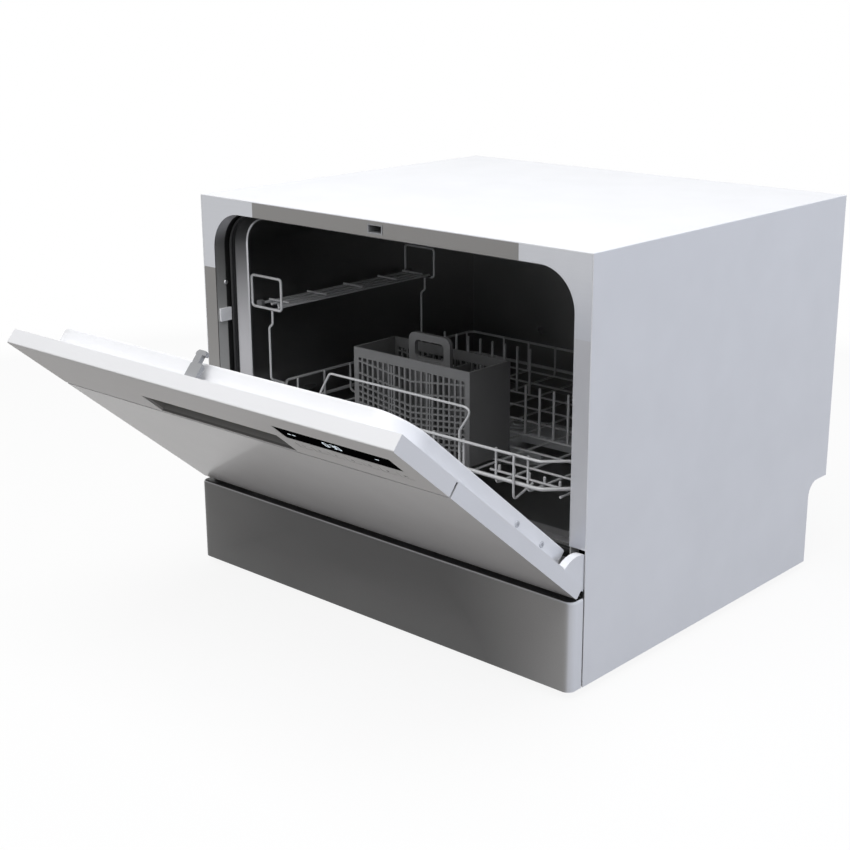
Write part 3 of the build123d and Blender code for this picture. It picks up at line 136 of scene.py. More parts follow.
def spread(tree, factor, low, high, socket):
    """Drives a number socket between two values."""
    span = tree.nodes.new("ShaderNodeMapRange")
    span.inputs["From Min"].default_value = 0.3
    span.inputs["From Max"].default_value = 0.7
    span.inputs["To Min"].default_value = low
    span.inputs["To Max"].default_value = high
    tree.links.new(factor, span.inputs["Value"])
    tree.links.new(span.outputs["Result"], socket)


def relief(tree, shader, factor, height_mm, strength=0.3):
    """Bumps the surface by a noise of a real height."""
    bump = tree.nodes.new("ShaderNodeBump")
    bump.inputs["Distance"].default_value = height_mm * MM
    bump.inputs["Strength"].default_value = strength
    tree.links.new(factor, bump.inputs["Height"])
    tree.links.new(bump.outputs["Normal"], shader.inputs["Normal"])


def shade(colour, amount):
    return tuple(channel * amount for channel in colour)


def even_finish(name, colour, roughness, size_mm, height_mm, **sockets):
    """Paint, plastic or rubber: one colour, a cloudy tone and a fine surface."""
    finish, tree, shader = new_finish(name, roughness, **sockets)
    cloud = grain(tree, 60)
    tint(tree, cloud, shade(colour, 0.965), colour, shader.inputs["Base Color"])
    fine = grain(tree, size_mm)
    spread(tree, fine, roughness - 0.05, roughness + 0.05, shader.inputs["Roughness"])
    relief(tree, shader, fine, height_mm)
    return finish


def brushed_finish(name, colour, roughness, along, scratch_mm=0.25):
    """Rolled or brushed metal, with fine lines that run along one axis."""
    finish, tree, shader = new_finish(name, roughness, metallic=1.0)
    stretch = [60 if axis == along else 1 for axis in "xyz"]
    lines = grain(tree, scratch_mm, stretch, detail=4)
    cloud = grain(tree, 45, [4 if axis == along else 1 for axis in "xyz"])
    tint(tree, lines, shade(colour, 0.86), colour, shader.inputs["Base Color"])
    spread(tree, cloud, roughness - 0.05, roughness + 0.07, shader.inputs["Roughness"])
    relief(tree, shader, lines, 0.01, 0.25)
    return finish


print("finish helpers ready")

# %% [markdown]
# ## White enamel and white mouldings
#
# The cabinet is powder-coated sheet. Such paint has an orange-peel surface: soft bumps about a
# millimetre across and a few hundredths high. The fascia and the inner door are moulded plastic with
# a much finer spark-eroded texture, so they look flatter under the same light.

# %% White finishes
WHITE = (0.80, 0.81, 0.84)
MOULDED_WHITE = (0.81, 0.815, 0.835)
white_enamel = even_finish("white_enamel", WHITE, 0.34, 1.4, 0.03, Coat_Weight=0.15)
white_moulding = even_finish("white_moulding", MOULDED_WHITE, 0.42, 0.35, 0.012)
print("white finishes:", white_enamel.name, white_moulding.name)

# %% [markdown]
# ## Kick plate
#
# The plinth is one bent sheet, white like the cabinet. Its front, under the open door, is painted a
# satin dark grey as painted shade, while its rounded top edge and its rounded ends keep the white. The
# upper face, under the door, is painted black as painted shadow, so that the gap there looks like one
# dark line. The direction in which the surface faces is a good switch between the three. The front is
# also painted lighter towards the ends and the lower edge, most at the right end, as painted light.

# %% Kick plate paint and painted shade
KICK_HALF = 274.5
KICK_H = 95.0


def ramp_value(tree, value, start, end):
    """0 at start and 1 at end, with a soft change between them."""
    span = tree.nodes.new("ShaderNodeMapRange")
    span.interpolation_type = "SMOOTHSTEP"
    span.inputs["From Min"].default_value = start
    span.inputs["From Max"].default_value = end
    tree.links.new(value, span.inputs["Value"])
    return span.outputs["Result"]


def combine(tree, operation, first, second):
    node = tree.nodes.new("ShaderNodeMath")
    node.operation = operation
    for socket, value in zip(node.inputs, (first, second)):
        if isinstance(value, (int, float)):
            socket.default_value = value
        else:
            tree.links.new(value, socket)
    return node.outputs[0]


def blend_colour(tree, factor, first, second):
    """Mixes two colours or colour sockets."""
    mix = tree.nodes.new("ShaderNodeMix")
    mix.data_type = "RGBA"
    tree.links.new(factor, mix.inputs["Factor"])
    for socket, value in ((mix.inputs["A"], first), (mix.inputs["B"], second)):
        if isinstance(value, tuple):
            socket.default_value = (*value, 1)
        else:
            tree.links.new(value, socket)
    return mix.outputs["Result"]


def kick_plate_finish():
    finish, tree, shader = new_finish("kick_plate_paint_and_shade", 0.42)
    coords = tree.nodes.new("ShaderNodeTexCoord")
    place = tree.nodes.new("ShaderNodeSeparateXYZ")
    facing = tree.nodes.new("ShaderNodeSeparateXYZ")
    tree.links.new(coords.outputs["Object"], place.inputs["Vector"])
    tree.links.new(coords.outputs["Normal"], facing.inputs["Vector"])
    to_right = ramp_value(tree, place.outputs["X"], 0.10, KICK_HALF * MM)
    to_left = ramp_value(tree, place.outputs["X"], -0.10, -KICK_HALF * MM)
    to_foot = ramp_value(tree, place.outputs["Z"], at(0, 0, KICK_H - 15).z, at(0, 0, 0).z)
    # Painted light: the front gets lighter towards the right end, and less towards the left end and the lower
    # edge.
    painted_light_at_ends = combine(tree, "MULTIPLY", combine(tree, "MAXIMUM", to_left, to_foot), 0.35)
    painted_light_at_ends = combine(tree, "MAXIMUM", to_right, painted_light_at_ends)
    flake = grain(tree, 0.5, detail=1)
    # The front is painted dark grey as painted shade under the open door, lighter where the painted light falls.
    tone = blend_colour(tree, painted_light_at_ends, (0.15, 0.15, 0.152), (0.60, 0.60, 0.605))
    speckle = blend_colour(tree, flake, (0.8, 0.8, 0.8), (1.0, 1.0, 1.0))
    shaded_front = tree.nodes.new("ShaderNodeMix")
    shaded_front.data_type = "RGBA"
    shaded_front.blend_type = "MULTIPLY"
    shaded_front.inputs["Factor"].default_value = 1
    tree.links.new(tone, shaded_front.inputs["A"])
    tree.links.new(speckle, shaded_front.inputs["B"])
    # Faces turned away from the front keep the cabinet's white; the upper face is painted black as painted shadow
    # in the gap under the door.
    turned = ramp_value(tree, facing.outputs["Y"], -0.985, -0.75)
    on_top = ramp_value(tree, facing.outputs["Z"], 0.75, 0.9)
    colour = blend_colour(tree, turned, shaded_front.outputs["Result"], WHITE)
    colour = blend_colour(tree, on_top, colour, (0.012, 0.012, 0.012))
    tree.links.new(colour, shader.inputs["Base Color"])
    spread(tree, grain(tree, 30, (5, 1, 1)), 0.37, 0.48, shader.inputs["Roughness"])
    relief(tree, shader, grain(tree, 1.2), 0.02, 0.2)
    return finish


kick_paint_and_shade = kick_plate_finish()
print("kick plate paint ready")

# %% [markdown]
# ## Fascia and grip
#
# The grip is a deep cup behind a long opening in the fascia. The upward-facing lower edge of the
# opening is painted dark grey on the white fascia as painted shade. Inside, the cup is painted lighter
# near its mouth and darker deeper in, as painted shade. Both finishes measure places along the door's
# own directions, up and inwards.

# %% Fascia and grip finishes
DOOR_UP = door_at(0, 1, 0) - door_at(0, 0, 0)
DOOR_UP.normalize()
DOOR_IN = door_at(0, 0, 1) - door_at(0, 0, 0)
DOOR_IN.normalize()
POCKET_END = 90.0


def measured(tree, vector, direction):
    """The length of a vector socket along a direction."""
    node = tree.nodes.new("ShaderNodeVectorMath")
    node.operation = "DOT_PRODUCT"
    node.inputs[1].default_value = direction
    tree.links.new(vector, node.inputs[0])
    return node.outputs["Value"]


def fascia_finish():
    finish, tree, shader = new_finish("fascia_white", 0.42)
    coords = tree.nodes.new("ShaderNodeTexCoord")
    place = tree.nodes.new("ShaderNodeSeparateXYZ")
    tree.links.new(coords.outputs["Object"], place.inputs["Vector"])
    up = measured(tree, coords.outputs["Object"], DOOR_UP)
    turned_up = combine(tree, "GREATER_THAN", measured(tree, coords.outputs["Normal"], DOOR_UP), 0.9)
    below_rim = combine(tree, "LESS_THAN", up, door_at(0, 300, 0).dot(DOOR_UP))
    left = combine(tree, "LESS_THAN", place.outputs["X"], (POCKET_END + 1) * MM)
    # The upward-facing lower edge of the opening, left of the pocket's end, is painted dark grey on the white
    # fascia as painted shade.
    shaded_lip = combine(tree, "MULTIPLY", combine(tree, "MULTIPLY", turned_up, below_rim), left)
    white = blend_colour(tree, grain(tree, 60), shade(MOULDED_WHITE, 0.965), MOULDED_WHITE)
    tree.links.new(blend_colour(tree, shaded_lip, white, (0.30, 0.30, 0.30)), shader.inputs["Base Color"])
    fine = grain(tree, 0.35)
    spread(tree, fine, 0.37, 0.47, shader.inputs["Roughness"])
    relief(tree, shader, fine, 0.012)
    return finish


def grip_finish():
    finish, tree, shader = new_finish("grip_plastic", 0.45)
    coords = tree.nodes.new("ShaderNodeTexCoord")
    inwards = measured(tree, coords.outputs["Object"], DOOR_IN)
    deep = ramp_value(tree, inwards, door_at(0, 0, 2).dot(DOOR_IN), door_at(0, 0, 22).dot(DOOR_IN))
    fine = grain(tree, 0.4)
    # The cup is painted lighter near its mouth and darker deeper in, as painted shade inside the pocket.
    tone = blend_colour(tree, deep, (0.50, 0.50, 0.50), (0.11, 0.11, 0.112))
    tree.links.new(tone, shader.inputs["Base Color"])
    spread(tree, fine, 0.40, 0.50, shader.inputs["Roughness"])
    relief(tree, shader, fine, 0.02)
    return finish


fascia_white = fascia_finish()
grip_plastic = grip_finish()
print("fascia and grip finishes ready")

# %% [markdown]
# ## Steel
#
# The tub is drawn from stainless sheet, with a polished flange around its mouth. The flange's tones are
# painted reflections: its two upper corners are painted lighter, with a sharp edge where that tone
# starts, the right-hand upright is painted lighter than the left one, and the flange is painted lighter
# towards the bottom. A comparison of the position along the flange switches between the tones.
#
# The tub itself has four zones, one behind the other: the non-metallic wall of the recess, a black band
# that is painted shadow in the gap before the seal, the polished step and the brushed inside. The wall
# is painted darker just below its top and lighter at its top and lower down; the step is painted dark at
# its top and light lower down, with a painted highlight along its inner edge; the inside is a steel
# darker than bare stainless. All of these are painted light and shade. The distance behind the front
# plane tells them apart.

# %% Steel finishes
bright_steel = brushed_finish("bright_steel", (0.62, 0.62, 0.63), 0.24, "x")
zinc_sheet = brushed_finish("zinc_sheet", (0.56, 0.57, 0.58), 0.38, "z", 1.5)
CORNER_X = 188.0
CORNER_Z = 348.0


def flange_finish():
    """Bright flange steel, with painted reflections: lighter upper corners, a lighter right upright, lighter
    towards the bottom.
    """
    finish, tree, shader = new_finish("flange_steel", 0.3, metallic=1.0)
    lines = grain(tree, 0.3, (60, 1, 1), detail=4)
    coords = tree.nodes.new("ShaderNodeTexCoord")
    place = tree.nodes.new("ShaderNodeSeparateXYZ")
    tree.links.new(coords.outputs["Object"], place.inputs["Vector"])
    side = combine(tree, "ABSOLUTE", place.outputs["X"], 0)
    outside = combine(tree, "GREATER_THAN", side, CORNER_X * MM)
    above = combine(tree, "GREATER_THAN", place.outputs["Z"], at(0, 0, CORNER_Z).z)
    # The two upper corners are painted lighter, as painted reflection.
    reflecting_corner = combine(tree, "MULTIPLY", outside, above)
    low = ramp_value(tree, place.outputs["Z"], at(0, 0, 330).z, at(0, 0, 150).z)
    right = combine(tree, "GREATER_THAN", place.outputs["X"], CORNER_X * MM)
    # The top strip and the uprights are painted lighter towards the bottom, and the right upright lighter than
    # the left, as painted reflections.
    strip_reflection = blend_colour(tree, low, (0.23, 0.225, 0.22), (0.30, 0.295, 0.29))
    strip_reflection = blend_colour(tree, right, strip_reflection, blend_colour(tree, low, (0.49, 0.49, 0.505), (0.62, 0.62, 0.635)))
    corner_reflection = blend_colour(tree, lines, (0.50, 0.51, 0.54), (0.55, 0.56, 0.59))
    tree.links.new(blend_colour(tree, reflecting_corner, strip_reflection, corner_reflection), shader.inputs["Base Color"])
    relief(tree, shader, lines, 0.01, 0.2)
    return finish


def tub_finish():
    """Recess wall, painted shadow before the seal, polished step and brushed inside, one behind the other, each
    with painted light and shade.
    """
    finish, tree, shader = new_finish("tub_steel", 0.32, metallic=1.0)
    coords = tree.nodes.new("ShaderNodeTexCoord")
    place = tree.nodes.new("ShaderNodeSeparateXYZ")
    tree.links.new(coords.outputs["Object"], place.inputs["Vector"])
    depth = place.outputs["Y"]
    high = ramp_value(tree, place.outputs["Z"], at(0, 0, 375).z, at(0, 0, 405).z)
    low = ramp_value(tree, place.outputs["Z"], at(0, 0, 385).z, at(0, 0, 225).z)
    lower = ramp_value(tree, place.outputs["Z"], at(0, 0, 398).z, at(0, 0, 235).z)
    # From 15.5 mm behind the front plane to the step, the wall is painted black as painted shadow in the gap
    # before the seal.
    seal_shadow = ramp_value(tree, depth, at(0, 14.0, 0).y, at(0, 15.5, 0).y)
    step = ramp_value(tree, depth, at(0, 27.2, 0).y, at(0, 28.0, 0).y)
    inside = ramp_value(tree, depth, at(0, 40.2, 0).y, at(0, 43.0, 0).y)
    # The recess wall is painted darker just below its top and lighter at its top and lower down, as painted light
    # and shade.
    wall = blend_colour(tree, low, (0.15, 0.15, 0.147), (0.48, 0.48, 0.47))
    wall = blend_colour(tree, high, wall, (0.60, 0.60, 0.62))
    tone = blend_colour(tree, seal_shadow, wall, (0.01, 0.01, 0.01))
    # The polished step is painted dark at its top and light lower down, as painted shade and reflection, with a
    # painted highlight along its inner edge.
    polished = blend_colour(tree, lower, (0.03, 0.03, 0.03), (0.72, 0.71, 0.72))
    edge = ramp_value(tree, depth, at(0, 38.2, 0).y, at(0, 39.2, 0).y)
    polished = blend_colour(tree, edge, polished, (0.66, 0.66, 0.67))
    tone = blend_colour(tree, step, tone, polished)
    lines = grain(tree, 0.25, (1, 60, 1), detail=4)
    # The inside is a brushed steel darker than bare stainless, as painted shade inside the tub.
    brushed = blend_colour(tree, lines, (0.20, 0.20, 0.20), (0.26, 0.26, 0.26))
    tone = blend_colour(tree, inside, tone, brushed)
    tree.links.new(tone, shader.inputs["Base Color"])
    tree.links.new(step, shader.inputs["Metallic"])
    spread(tree, grain(tree, 45, (1, 4, 1)), 0.27, 0.39, shader.inputs["Roughness"])
    relief(tree, shader, lines, 0.01, 0.25)
    return finish


flange_steel = flange_finish()
tub_steel = tub_finish()
print("steel finishes:", tub_steel.name, bright_steel.name, flange_steel.name)

# %% [markdown]
# ## Rubber and plastics
#
# Most other pieces are moulded. They differ in colour, in gloss and in how coarse their texture is:
# the basket is finely grained, the seal is soft black rubber, and the wires of the drawer have a
# thick nylon coat.

# %% Rubber and plastic finishes
seal_rubber = even_finish("seal_rubber", (0.018, 0.018, 0.019), 0.55, 0.6, 0.02)
foot_rubber = even_finish("foot_rubber", (0.03, 0.03, 0.03), 0.7, 0.8, 0.03)
basket_plastic = even_finish("basket_plastic", (0.155, 0.156, 0.158), 0.38, 0.4, 0.015)
nylon_wire = even_finish("nylon_wire", (0.58, 0.585, 0.595), 0.30, 1.0, 0.02, Coat_Weight=0.5)
screw_paint = even_finish("screw_paint", (0.50, 0.51, 0.54), 0.40, 0.6, 0.01)
pale_plastic = even_finish("pale_plastic", (0.48, 0.49, 0.50), 0.40, 0.5, 0.015)
hook_plastic = even_finish("hook_plastic", (0.29, 0.295, 0.305), 0.40, 0.5, 0.015)
milky_plastic = even_finish("milky_plastic", (0.62, 0.63, 0.60), 0.35, 0.8, 0.02)
dark_plastic = even_finish("dark_plastic", (0.03, 0.03, 0.032), 0.45, 0.5, 0.02)
blue_plastic = even_finish("blue_plastic", (0.03, 0.09, 0.25), 0.38, 0.5, 0.015)
board_lacquer = even_finish("board_lacquer", (0.02, 0.13, 0.05), 0.30, 2.0, 0.02)
window_gloss = even_finish("window_gloss", (0.004, 0.004, 0.005), 0.30, 5.0, 0.001, Specular_IOR_Level=0.0)
print_ink = even_finish("print_ink", (0.10, 0.10, 0.105), 0.5, 0.3, 0.002)
print("plastic finishes ready")

# %% [markdown]
# ## Lit figures
#
# The figures of the display are a light guide with a lamp behind it. They glow a little, evenly, and
# cooler than the white of the fascia.

# %% Lit figures
lit_figures, tree, shader = new_finish("lit_figures", 0.4)
glow = grain(tree, 1.5)
tint(tree, glow, (0.72, 0.78, 0.82), (0.84, 0.90, 0.94), shader.inputs["Base Color"])
shader.inputs["Emission Color"].default_value = (0.8, 0.9, 1.0, 1)
shader.inputs["Emission Strength"].default_value = 0.8
print("lit figures ready")

# %% [markdown]
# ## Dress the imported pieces
#
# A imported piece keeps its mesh, and only its material slot changes. One table says which finish each
# piece has, so that a forgotten piece is found at once.

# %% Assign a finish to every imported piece
DRESS = {
    white_enamel: ["top_cover", "side_panel_right", "side_panel_left", "door_lower_panel", "hinge_arms"],
    fascia_white: ["control_fascia"],
    white_moulding: ["door_liner", "door_guide_blocks", "key_power", "key_program",
                     "key_extra", "key_half_load", "key_delay", "key_lock", "key_start"],
    kick_paint_and_shade: ["kick_plate"],
    flange_steel: ["tub_front_frame"],
    tub_steel: ["tub_shell", "fine_mesh", "flow_heater"],
    bright_steel: ["hinge_pins", "cabinet_screws", "door_screws"],
    zinc_sheet: ["rear_panel", "hinge_brackets"],
    seal_rubber: ["door_seal", "lower_door_seal"],
    foot_rubber: ["feet"],
    grip_plastic: ["handle_pocket"],
    basket_plastic: ["cutlery_basket", "rack_glides", "dispenser_button"],
    nylon_wire: ["rack_frame", "plate_tines", "cup_shelf_frame", "cup_shelf"],
    pale_plastic: ["base_tray", "sump", "spray_hub", "spray_arm", "filter_cup", "dispenser_body",
                   "dispenser_lid", "power_board_box", "inlet_valve", "drain_outlet"],
    hook_plastic: ["latch_catch", "latch_jaw", "latch_striker"],
    milky_plastic: ["softener_tank", "water_breather"],
    dark_plastic: ["wash_pump", "drain_pump", "mains_gland"],
    blue_plastic: ["salt_cap", "rinse_cap"],
    board_lacquer: ["control_board"],
    window_gloss: ["display_window"],
    lit_figures: ["display_digits"],
}


def dress(piece, finish):
    piece.data.materials.clear()
    piece.data.materials.append(finish)


for finish, names in DRESS.items():
    for name in names:
        dress(NODES[name], finish)
bare = sorted(set(NODES) - {name for names in DRESS.values() for name in names})
print("pieces without a finish:", bare)

# %% [markdown]
# ## Bent wire
#
# The drawer is made of steel wire that is bent, welded and dipped in nylon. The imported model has
# straight lengths that meet in mitres. A curve with a round bevel is the natural tool for wire, and
# each corner gets a short arc. An upright pin has a domed end, so it is a skin over a few rings whose
# radius shrinks towards the tip. The same skin serves every other turned or extruded piece.


# %% Wires with rounded bends
def rounded(points, bend, closed=False):
    """The points of a route, with each corner drawn as a short curve."""
    steps = 5
    path = []
    for n, spot in enumerate(points):
        if not closed and n in (0, len(points) - 1):
            path.append(spot)
            continue
        back = points[n - 1] - spot
        ahead = points[(n + 1) % len(points)] - spot
        reach = min(bend * MM / math.tan(back.angle(ahead) / 2), 0.45 * back.length, 0.45 * ahead.length)
        start = spot + back.normalized() * reach
        end = spot + ahead.normalized() * reach
        for k in range(steps + 1):
            t = k / steps
            path.append(start * (1 - t) ** 2 + spot * 2 * t * (1 - t) + end * t ** 2)
    return path


def place_piece(piece, body, finish, slot, *nodes):
    """Links a piece, gives it its finish, and lets it ride on its body."""
    bpy.context.scene.collection.objects.link(piece)
    dress(piece, finish)
    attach(piece, body)
    if nodes:
        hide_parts(*nodes)
    return piece


def wire_piece(name, routes, radius, body, *nodes, bend=6.0, closed=False):
    """One object made of round wires; a route is a list of (x, y, z) in millimetres."""
    curve = bpy.data.curves.new(name, "CURVE")
    curve.dimensions = "3D"
    curve.bevel_depth = radius * MM
    curve.bevel_resolution = 3
    curve.use_fill_caps = True
    for route in routes:
        path = rounded([at(*p) for p in route], bend, closed)
        spline = curve.splines.new("POLY")
        spline.points.add(len(path) - 1)
        for point, spot in zip(spline.points, path):
            point.co = (*spot, 1)
        spline.use_cyclic_u = closed
        spline.use_smooth = True
    piece = bpy.data.objects.new(name, curve)
    return place_piece(piece, body, nylon_wire, "wire_grey", *nodes)


def mesh_piece(name, mesh_data, body, finish, slot, *nodes, smooth=30):
    """One object from a bmesh; edges sharper than smooth degrees stay crisp."""
    mesh = bpy.data.meshes.new(name)
    bmesh.ops.recalc_face_normals(mesh_data, faces=mesh_data.faces)
    mesh_data.to_mesh(mesh)
    mesh_data.free()
    mesh.shade_smooth()
    mesh.set_sharp_from_angle(angle=math.radians(smooth))
    return place_piece(bpy.data.objects.new(name, mesh), body, finish, slot, *nodes)


def skin(bm, rings):
    """A closed skin over a row of rings of corners, with its two ends capped."""
    for ring, after in zip(rings, rings[1:]):
        for n in range(len(ring)):
            m = (n + 1) % len(ring)
            bm.faces.new((ring[n], ring[m], after[m], after[n]))
    bm.faces.new(rings[0])
    bm.faces.new(rings[-1])


def pin_piece(name, feet, top, radius, body, *nodes):
    """Upright pins with domed tips, standing on their feet."""
    around, steps = 14, 5
    turns = [2 * math.pi * n / around for n in range(around)]
    bm = bmesh.new()
    for x, y, z in feet:
        levels = [(z, radius)]
        for k in range(steps):
            lift = math.pi / 2 * k / steps
            levels.append((top + radius * math.sin(lift), radius * math.cos(lift)))
        rings = []
        for height, r in levels:
            rings.append([bm.verts.new(at(x + r * math.cos(t), y + r * math.sin(t), height)) for t in turns])
        skin(bm, rings)
    return mesh_piece(name, bm, body, nylon_wire, "wire_grey", *nodes, smooth=60)


print("wire helpers ready")

# %% [markdown]
# ## The wire drawer
#
# Two rails run all the way round, the lower one thicker. Cross wires and long wires are bent up at
# their ends and welded to the inside of the rails. A guard in front keeps the basket in, and two
# bent wires tie the rails to the short bars behind them. The front corners of the rails are cut off
# at 45 degrees.

# %% Drawer wires
RAIL_X = 230.0
RAIL_Y0 = 38.0
RAIL_Y1 = 416.0
RAIL_CUT = 42.0
RAIL_LOW_Z = 175.0
RAIL_LOW_R = 2.1
RAIL_TOP_Z = 204.0
RAIL_TOP_R = 1.6
WIRE_R = 1.35
CROSS_Z = 170.0
LONG_Z = CROSS_Z - 2 * WIRE_R
RAIL_TOP = RAIL_TOP_Z + RAIL_TOP_R
NEAR_Y = RAIL_Y0 + RAIL_LOW_R + WIRE_R
FAR_Y = RAIL_Y1 - RAIL_LOW_R - WIRE_R


def rail_route(half, y0, y1, z):
    cut = RAIL_CUT
    front = [(-half + cut, y0, z), (half - cut, y0, z), (half, y0 + cut, z)]
    return front + [(half, y1, z), (-half, y1, z), (-half, y0 + cut, z)]


wire_piece("drawer_lower_rail", [rail_route(RAIL_X, RAIL_Y0, RAIL_Y1, RAIL_LOW_Z)], RAIL_LOW_R, "rack",
           "rack_frame", bend=12, closed=True)
inset = RAIL_LOW_R - RAIL_TOP_R
wire_piece("drawer_upper_rail", [rail_route(RAIL_X - inset, RAIL_Y0 + inset, RAIL_Y1 - inset, RAIL_TOP_Z)],
           RAIL_TOP_R, "rack", "rack_frame", bend=12, closed=True)
reach = RAIL_X - RAIL_LOW_R - WIRE_R
cross_routes = []
for n in range(8):
    y = 95 + n * 44
    cross_routes.append([(-reach, y, RAIL_TOP), (-reach, y, CROSS_Z), (reach, y, CROSS_Z), (reach, y, RAIL_TOP)])
wire_piece("drawer_cross_wires", cross_routes, WIRE_R, "rack", "rack_frame")
long_routes = []
for x in (-170, -128, -84, -42, 0, 42, 84, 128, 170):
    long_routes.append([(x, NEAR_Y, RAIL_TOP), (x, NEAR_Y, LONG_Z), (x, FAR_Y, LONG_Z), (x, FAR_Y, RAIL_TOP)])
for x in (-205, 205):
    long_routes.append([(x, 50, LONG_Z), (x, FAR_Y + 1, LONG_Z)])
wire_piece("drawer_long_wires", long_routes, WIRE_R, "rack", "rack_frame")
PIN_ROWS = (66.0, 183.0, 315.0)
HOOK_X = 157.0
hook_y = RAIL_Y0 - RAIL_LOW_R - WIRE_R
hook = [(hook_y, RAIL_TOP), (hook_y, 157), (PIN_ROWS[0], LONG_Z)]
wire_piece("drawer_hooks", [[(x, y, z) for y, z in hook] for x in (-HOOK_X, HOOK_X)], WIRE_R, "rack",
           "rack_frame", bend=5)
guard = [(-138, RAIL_TOP_Z), (-115, 240.5), (97, 240.5), (78, 213.5), (78, RAIL_LOW_Z)]
wire_piece("drawer_guard", [[(x, NEAR_Y, z) for x, z in guard]], WIRE_R, "rack", "rack_frame", bend=8)
print("drawer:", len(cross_routes), "cross wires and", len(long_routes), "long wires")

# %% [markdown]
# ## Plate pins
#
# Two rows of upright pins hold the plates on edge. In front of them, on two short bars outside the
# basket, stands a row of stubs that keeps the plates apart at their lowest point.

# %% Pins for the plates
PIN_PITCH = 20.0
PIN_R = 1.6
PIN_TOP = 226.0
STUB_TOP = 175.0
bars = [[(-202, PIN_ROWS[0], CROSS_Z), (-100, PIN_ROWS[0], CROSS_Z)],
        [(100, PIN_ROWS[0], CROSS_Z), (202, PIN_ROWS[0], CROSS_Z)]]
wire_piece("drawer_front_bars", bars, WIRE_R, "rack", "rack_frame")
for row, y in enumerate(PIN_ROWS):
    first = 110 if row == 0 else 50
    feet = []
    for side in (-1, 1):
        for n in range(int((190 - first) / PIN_PITCH) + 1):
            feet.append((side * (first + n * PIN_PITCH), y + WIRE_R + PIN_R, CROSS_Z - WIRE_R + 0.1))
    pin_piece(f"plate_pins_{row + 1}", feet, PIN_TOP if row else STUB_TOP, PIN_R, "rack", "plate_tines")
    print("row", row + 1, "has", len(feet), "pins")

# %% [markdown]
# ## Cup shelf
#
# Two upright loops at the left carry a small folding grid for cups. The grid turns on its outer wire
# in two clips. Each loop stands on a bent leg that is welded to the upper rail.

# %% Cup shelf and its frame
SHELF_X0 = -241.5
SHELF_X1 = -192.0
SHELF_Z = 302.7
SHELF_LOOP_TOP = 336.0
SHELF_ENDS = (42.0, 300.0)
SHELF_HINGE_X = -232.0
SHELF_TIP_X = -199.0
SHELF_R = WIRE_R + 0.2
loop_low = SHELF_Z - 2 * SHELF_R - 0.1
loops, legs = [], []
for y, foot_y in zip(SHELF_ENDS, (62, SHELF_ENDS[1])):
    loops.append([(SHELF_X0, y, loop_low), (SHELF_X1, y, loop_low), (SHELF_X1, y, SHELF_LOOP_TOP),
                  (SHELF_X0, y, SHELF_LOOP_TOP)])
    leg = [(-208, y, loop_low - SHELF_R), (-208, y, 282), (-214, y, 278), (-214, y, 216), (-214, foot_y, 207)]
    legs.append(leg)
legs[1].append((-227.4, SHELF_ENDS[1], 207))
wire_piece("shelf_loops", loops, SHELF_R, "rack", "cup_shelf_frame", bend=4.5, closed=True)
wire_piece("shelf_legs", legs, WIRE_R, "rack", "cup_shelf_frame", bend=5)
y0, y1 = SHELF_ENDS[0] + SHELF_R + 0.3, SHELF_ENDS[1] - SHELF_R - 0.3
rows = [[(x, y0, SHELF_Z), (x, y1, SHELF_Z)] for x in (SHELF_HINGE_X, SHELF_TIP_X)]
rows += [[(x, y0 + 8, SHELF_Z), (x, y1 - 8, SHELF_Z)] for x in (-220, -209)]
wire_piece("shelf_rows", rows, SHELF_R, "cup_shelf", "cup_shelf")
bar_z = SHELF_Z + SHELF_R + WIRE_R
bars = [[(SHELF_HINGE_X, y, bar_z), (SHELF_TIP_X, y, bar_z)] for y in (60, 120, 180, 240, 285)]
wire_piece("shelf_bars", bars, WIRE_R, "cup_shelf", "cup_shelf")
print("cup shelf:", len(rows) + len(bars), "wires")

# %% [markdown]
# ## Clips of the cup shelf
#
# Moulded clips snap over the wire loops, hold the turning wire of the shelf and give its free edge
# something to rest on. Each is drawn as a side view with rounded corners and given its thickness.


# %% Shelf clips
def plate(bm, outline, thickness):
    """A flat plate from an outline of points, thickened along a vector."""
    skin(bm, [[bm.verts.new(p) for p in outline], [bm.verts.new(p + thickness) for p in outline]])


def soft_box(x0, x1, z0, z1, radius, steps=4):
    """Corners of a rounded rectangle, as pairs."""
    corners = ((x1 - radius, z1 - radius, 0), (x0 + radius, z1 - radius, 90),
               (x0 + radius, z0 + radius, 180), (x1 - radius, z0 + radius, 270))
    points = []
    for x, z, start in corners:
        for k in range(steps + 1):
            turn = math.radians(start + 90 * k / steps)
            points.append((x + radius * math.cos(turn), z + radius * math.sin(turn)))
    return points


bm = bmesh.new()
for y, side in zip(SHELF_ENDS, (1, -1)):
    inside = y + side * SHELF_R
    for x0, x1, z0, z1 in ((SHELF_HINGE_X - 4, SHELF_HINGE_X + 4, SHELF_Z - 4, SHELF_Z + 4),
                           (SHELF_TIP_X - 7, SHELF_TIP_X + 3, SHELF_Z - 3.4, SHELF_Z - SHELF_R - 0.05)):
        outline = [at(x, inside, z) for x, z in soft_box(x0, x1, z0, z1, min(1.6, (z1 - z0) / 2.2))]
        plate(bm, outline, Vector((0, side * 5 * MM, 0)))
mesh_piece("shelf_clips", bm, "rack", basket_plastic, "wire_grey", "cup_shelf_frame")
print("shelf clips: 2 with a bearing, 2 with a rest")

# %% [markdown]
# ## Door seal
#
# The seal is an extruded rubber profile pushed into the recess of the tub. It has a foot against the
# wall and a soft lip in front, which the closed door presses back. An extrusion is one section
# carried along a path, so the mesh is the same small outline repeated along the arch of the recess.

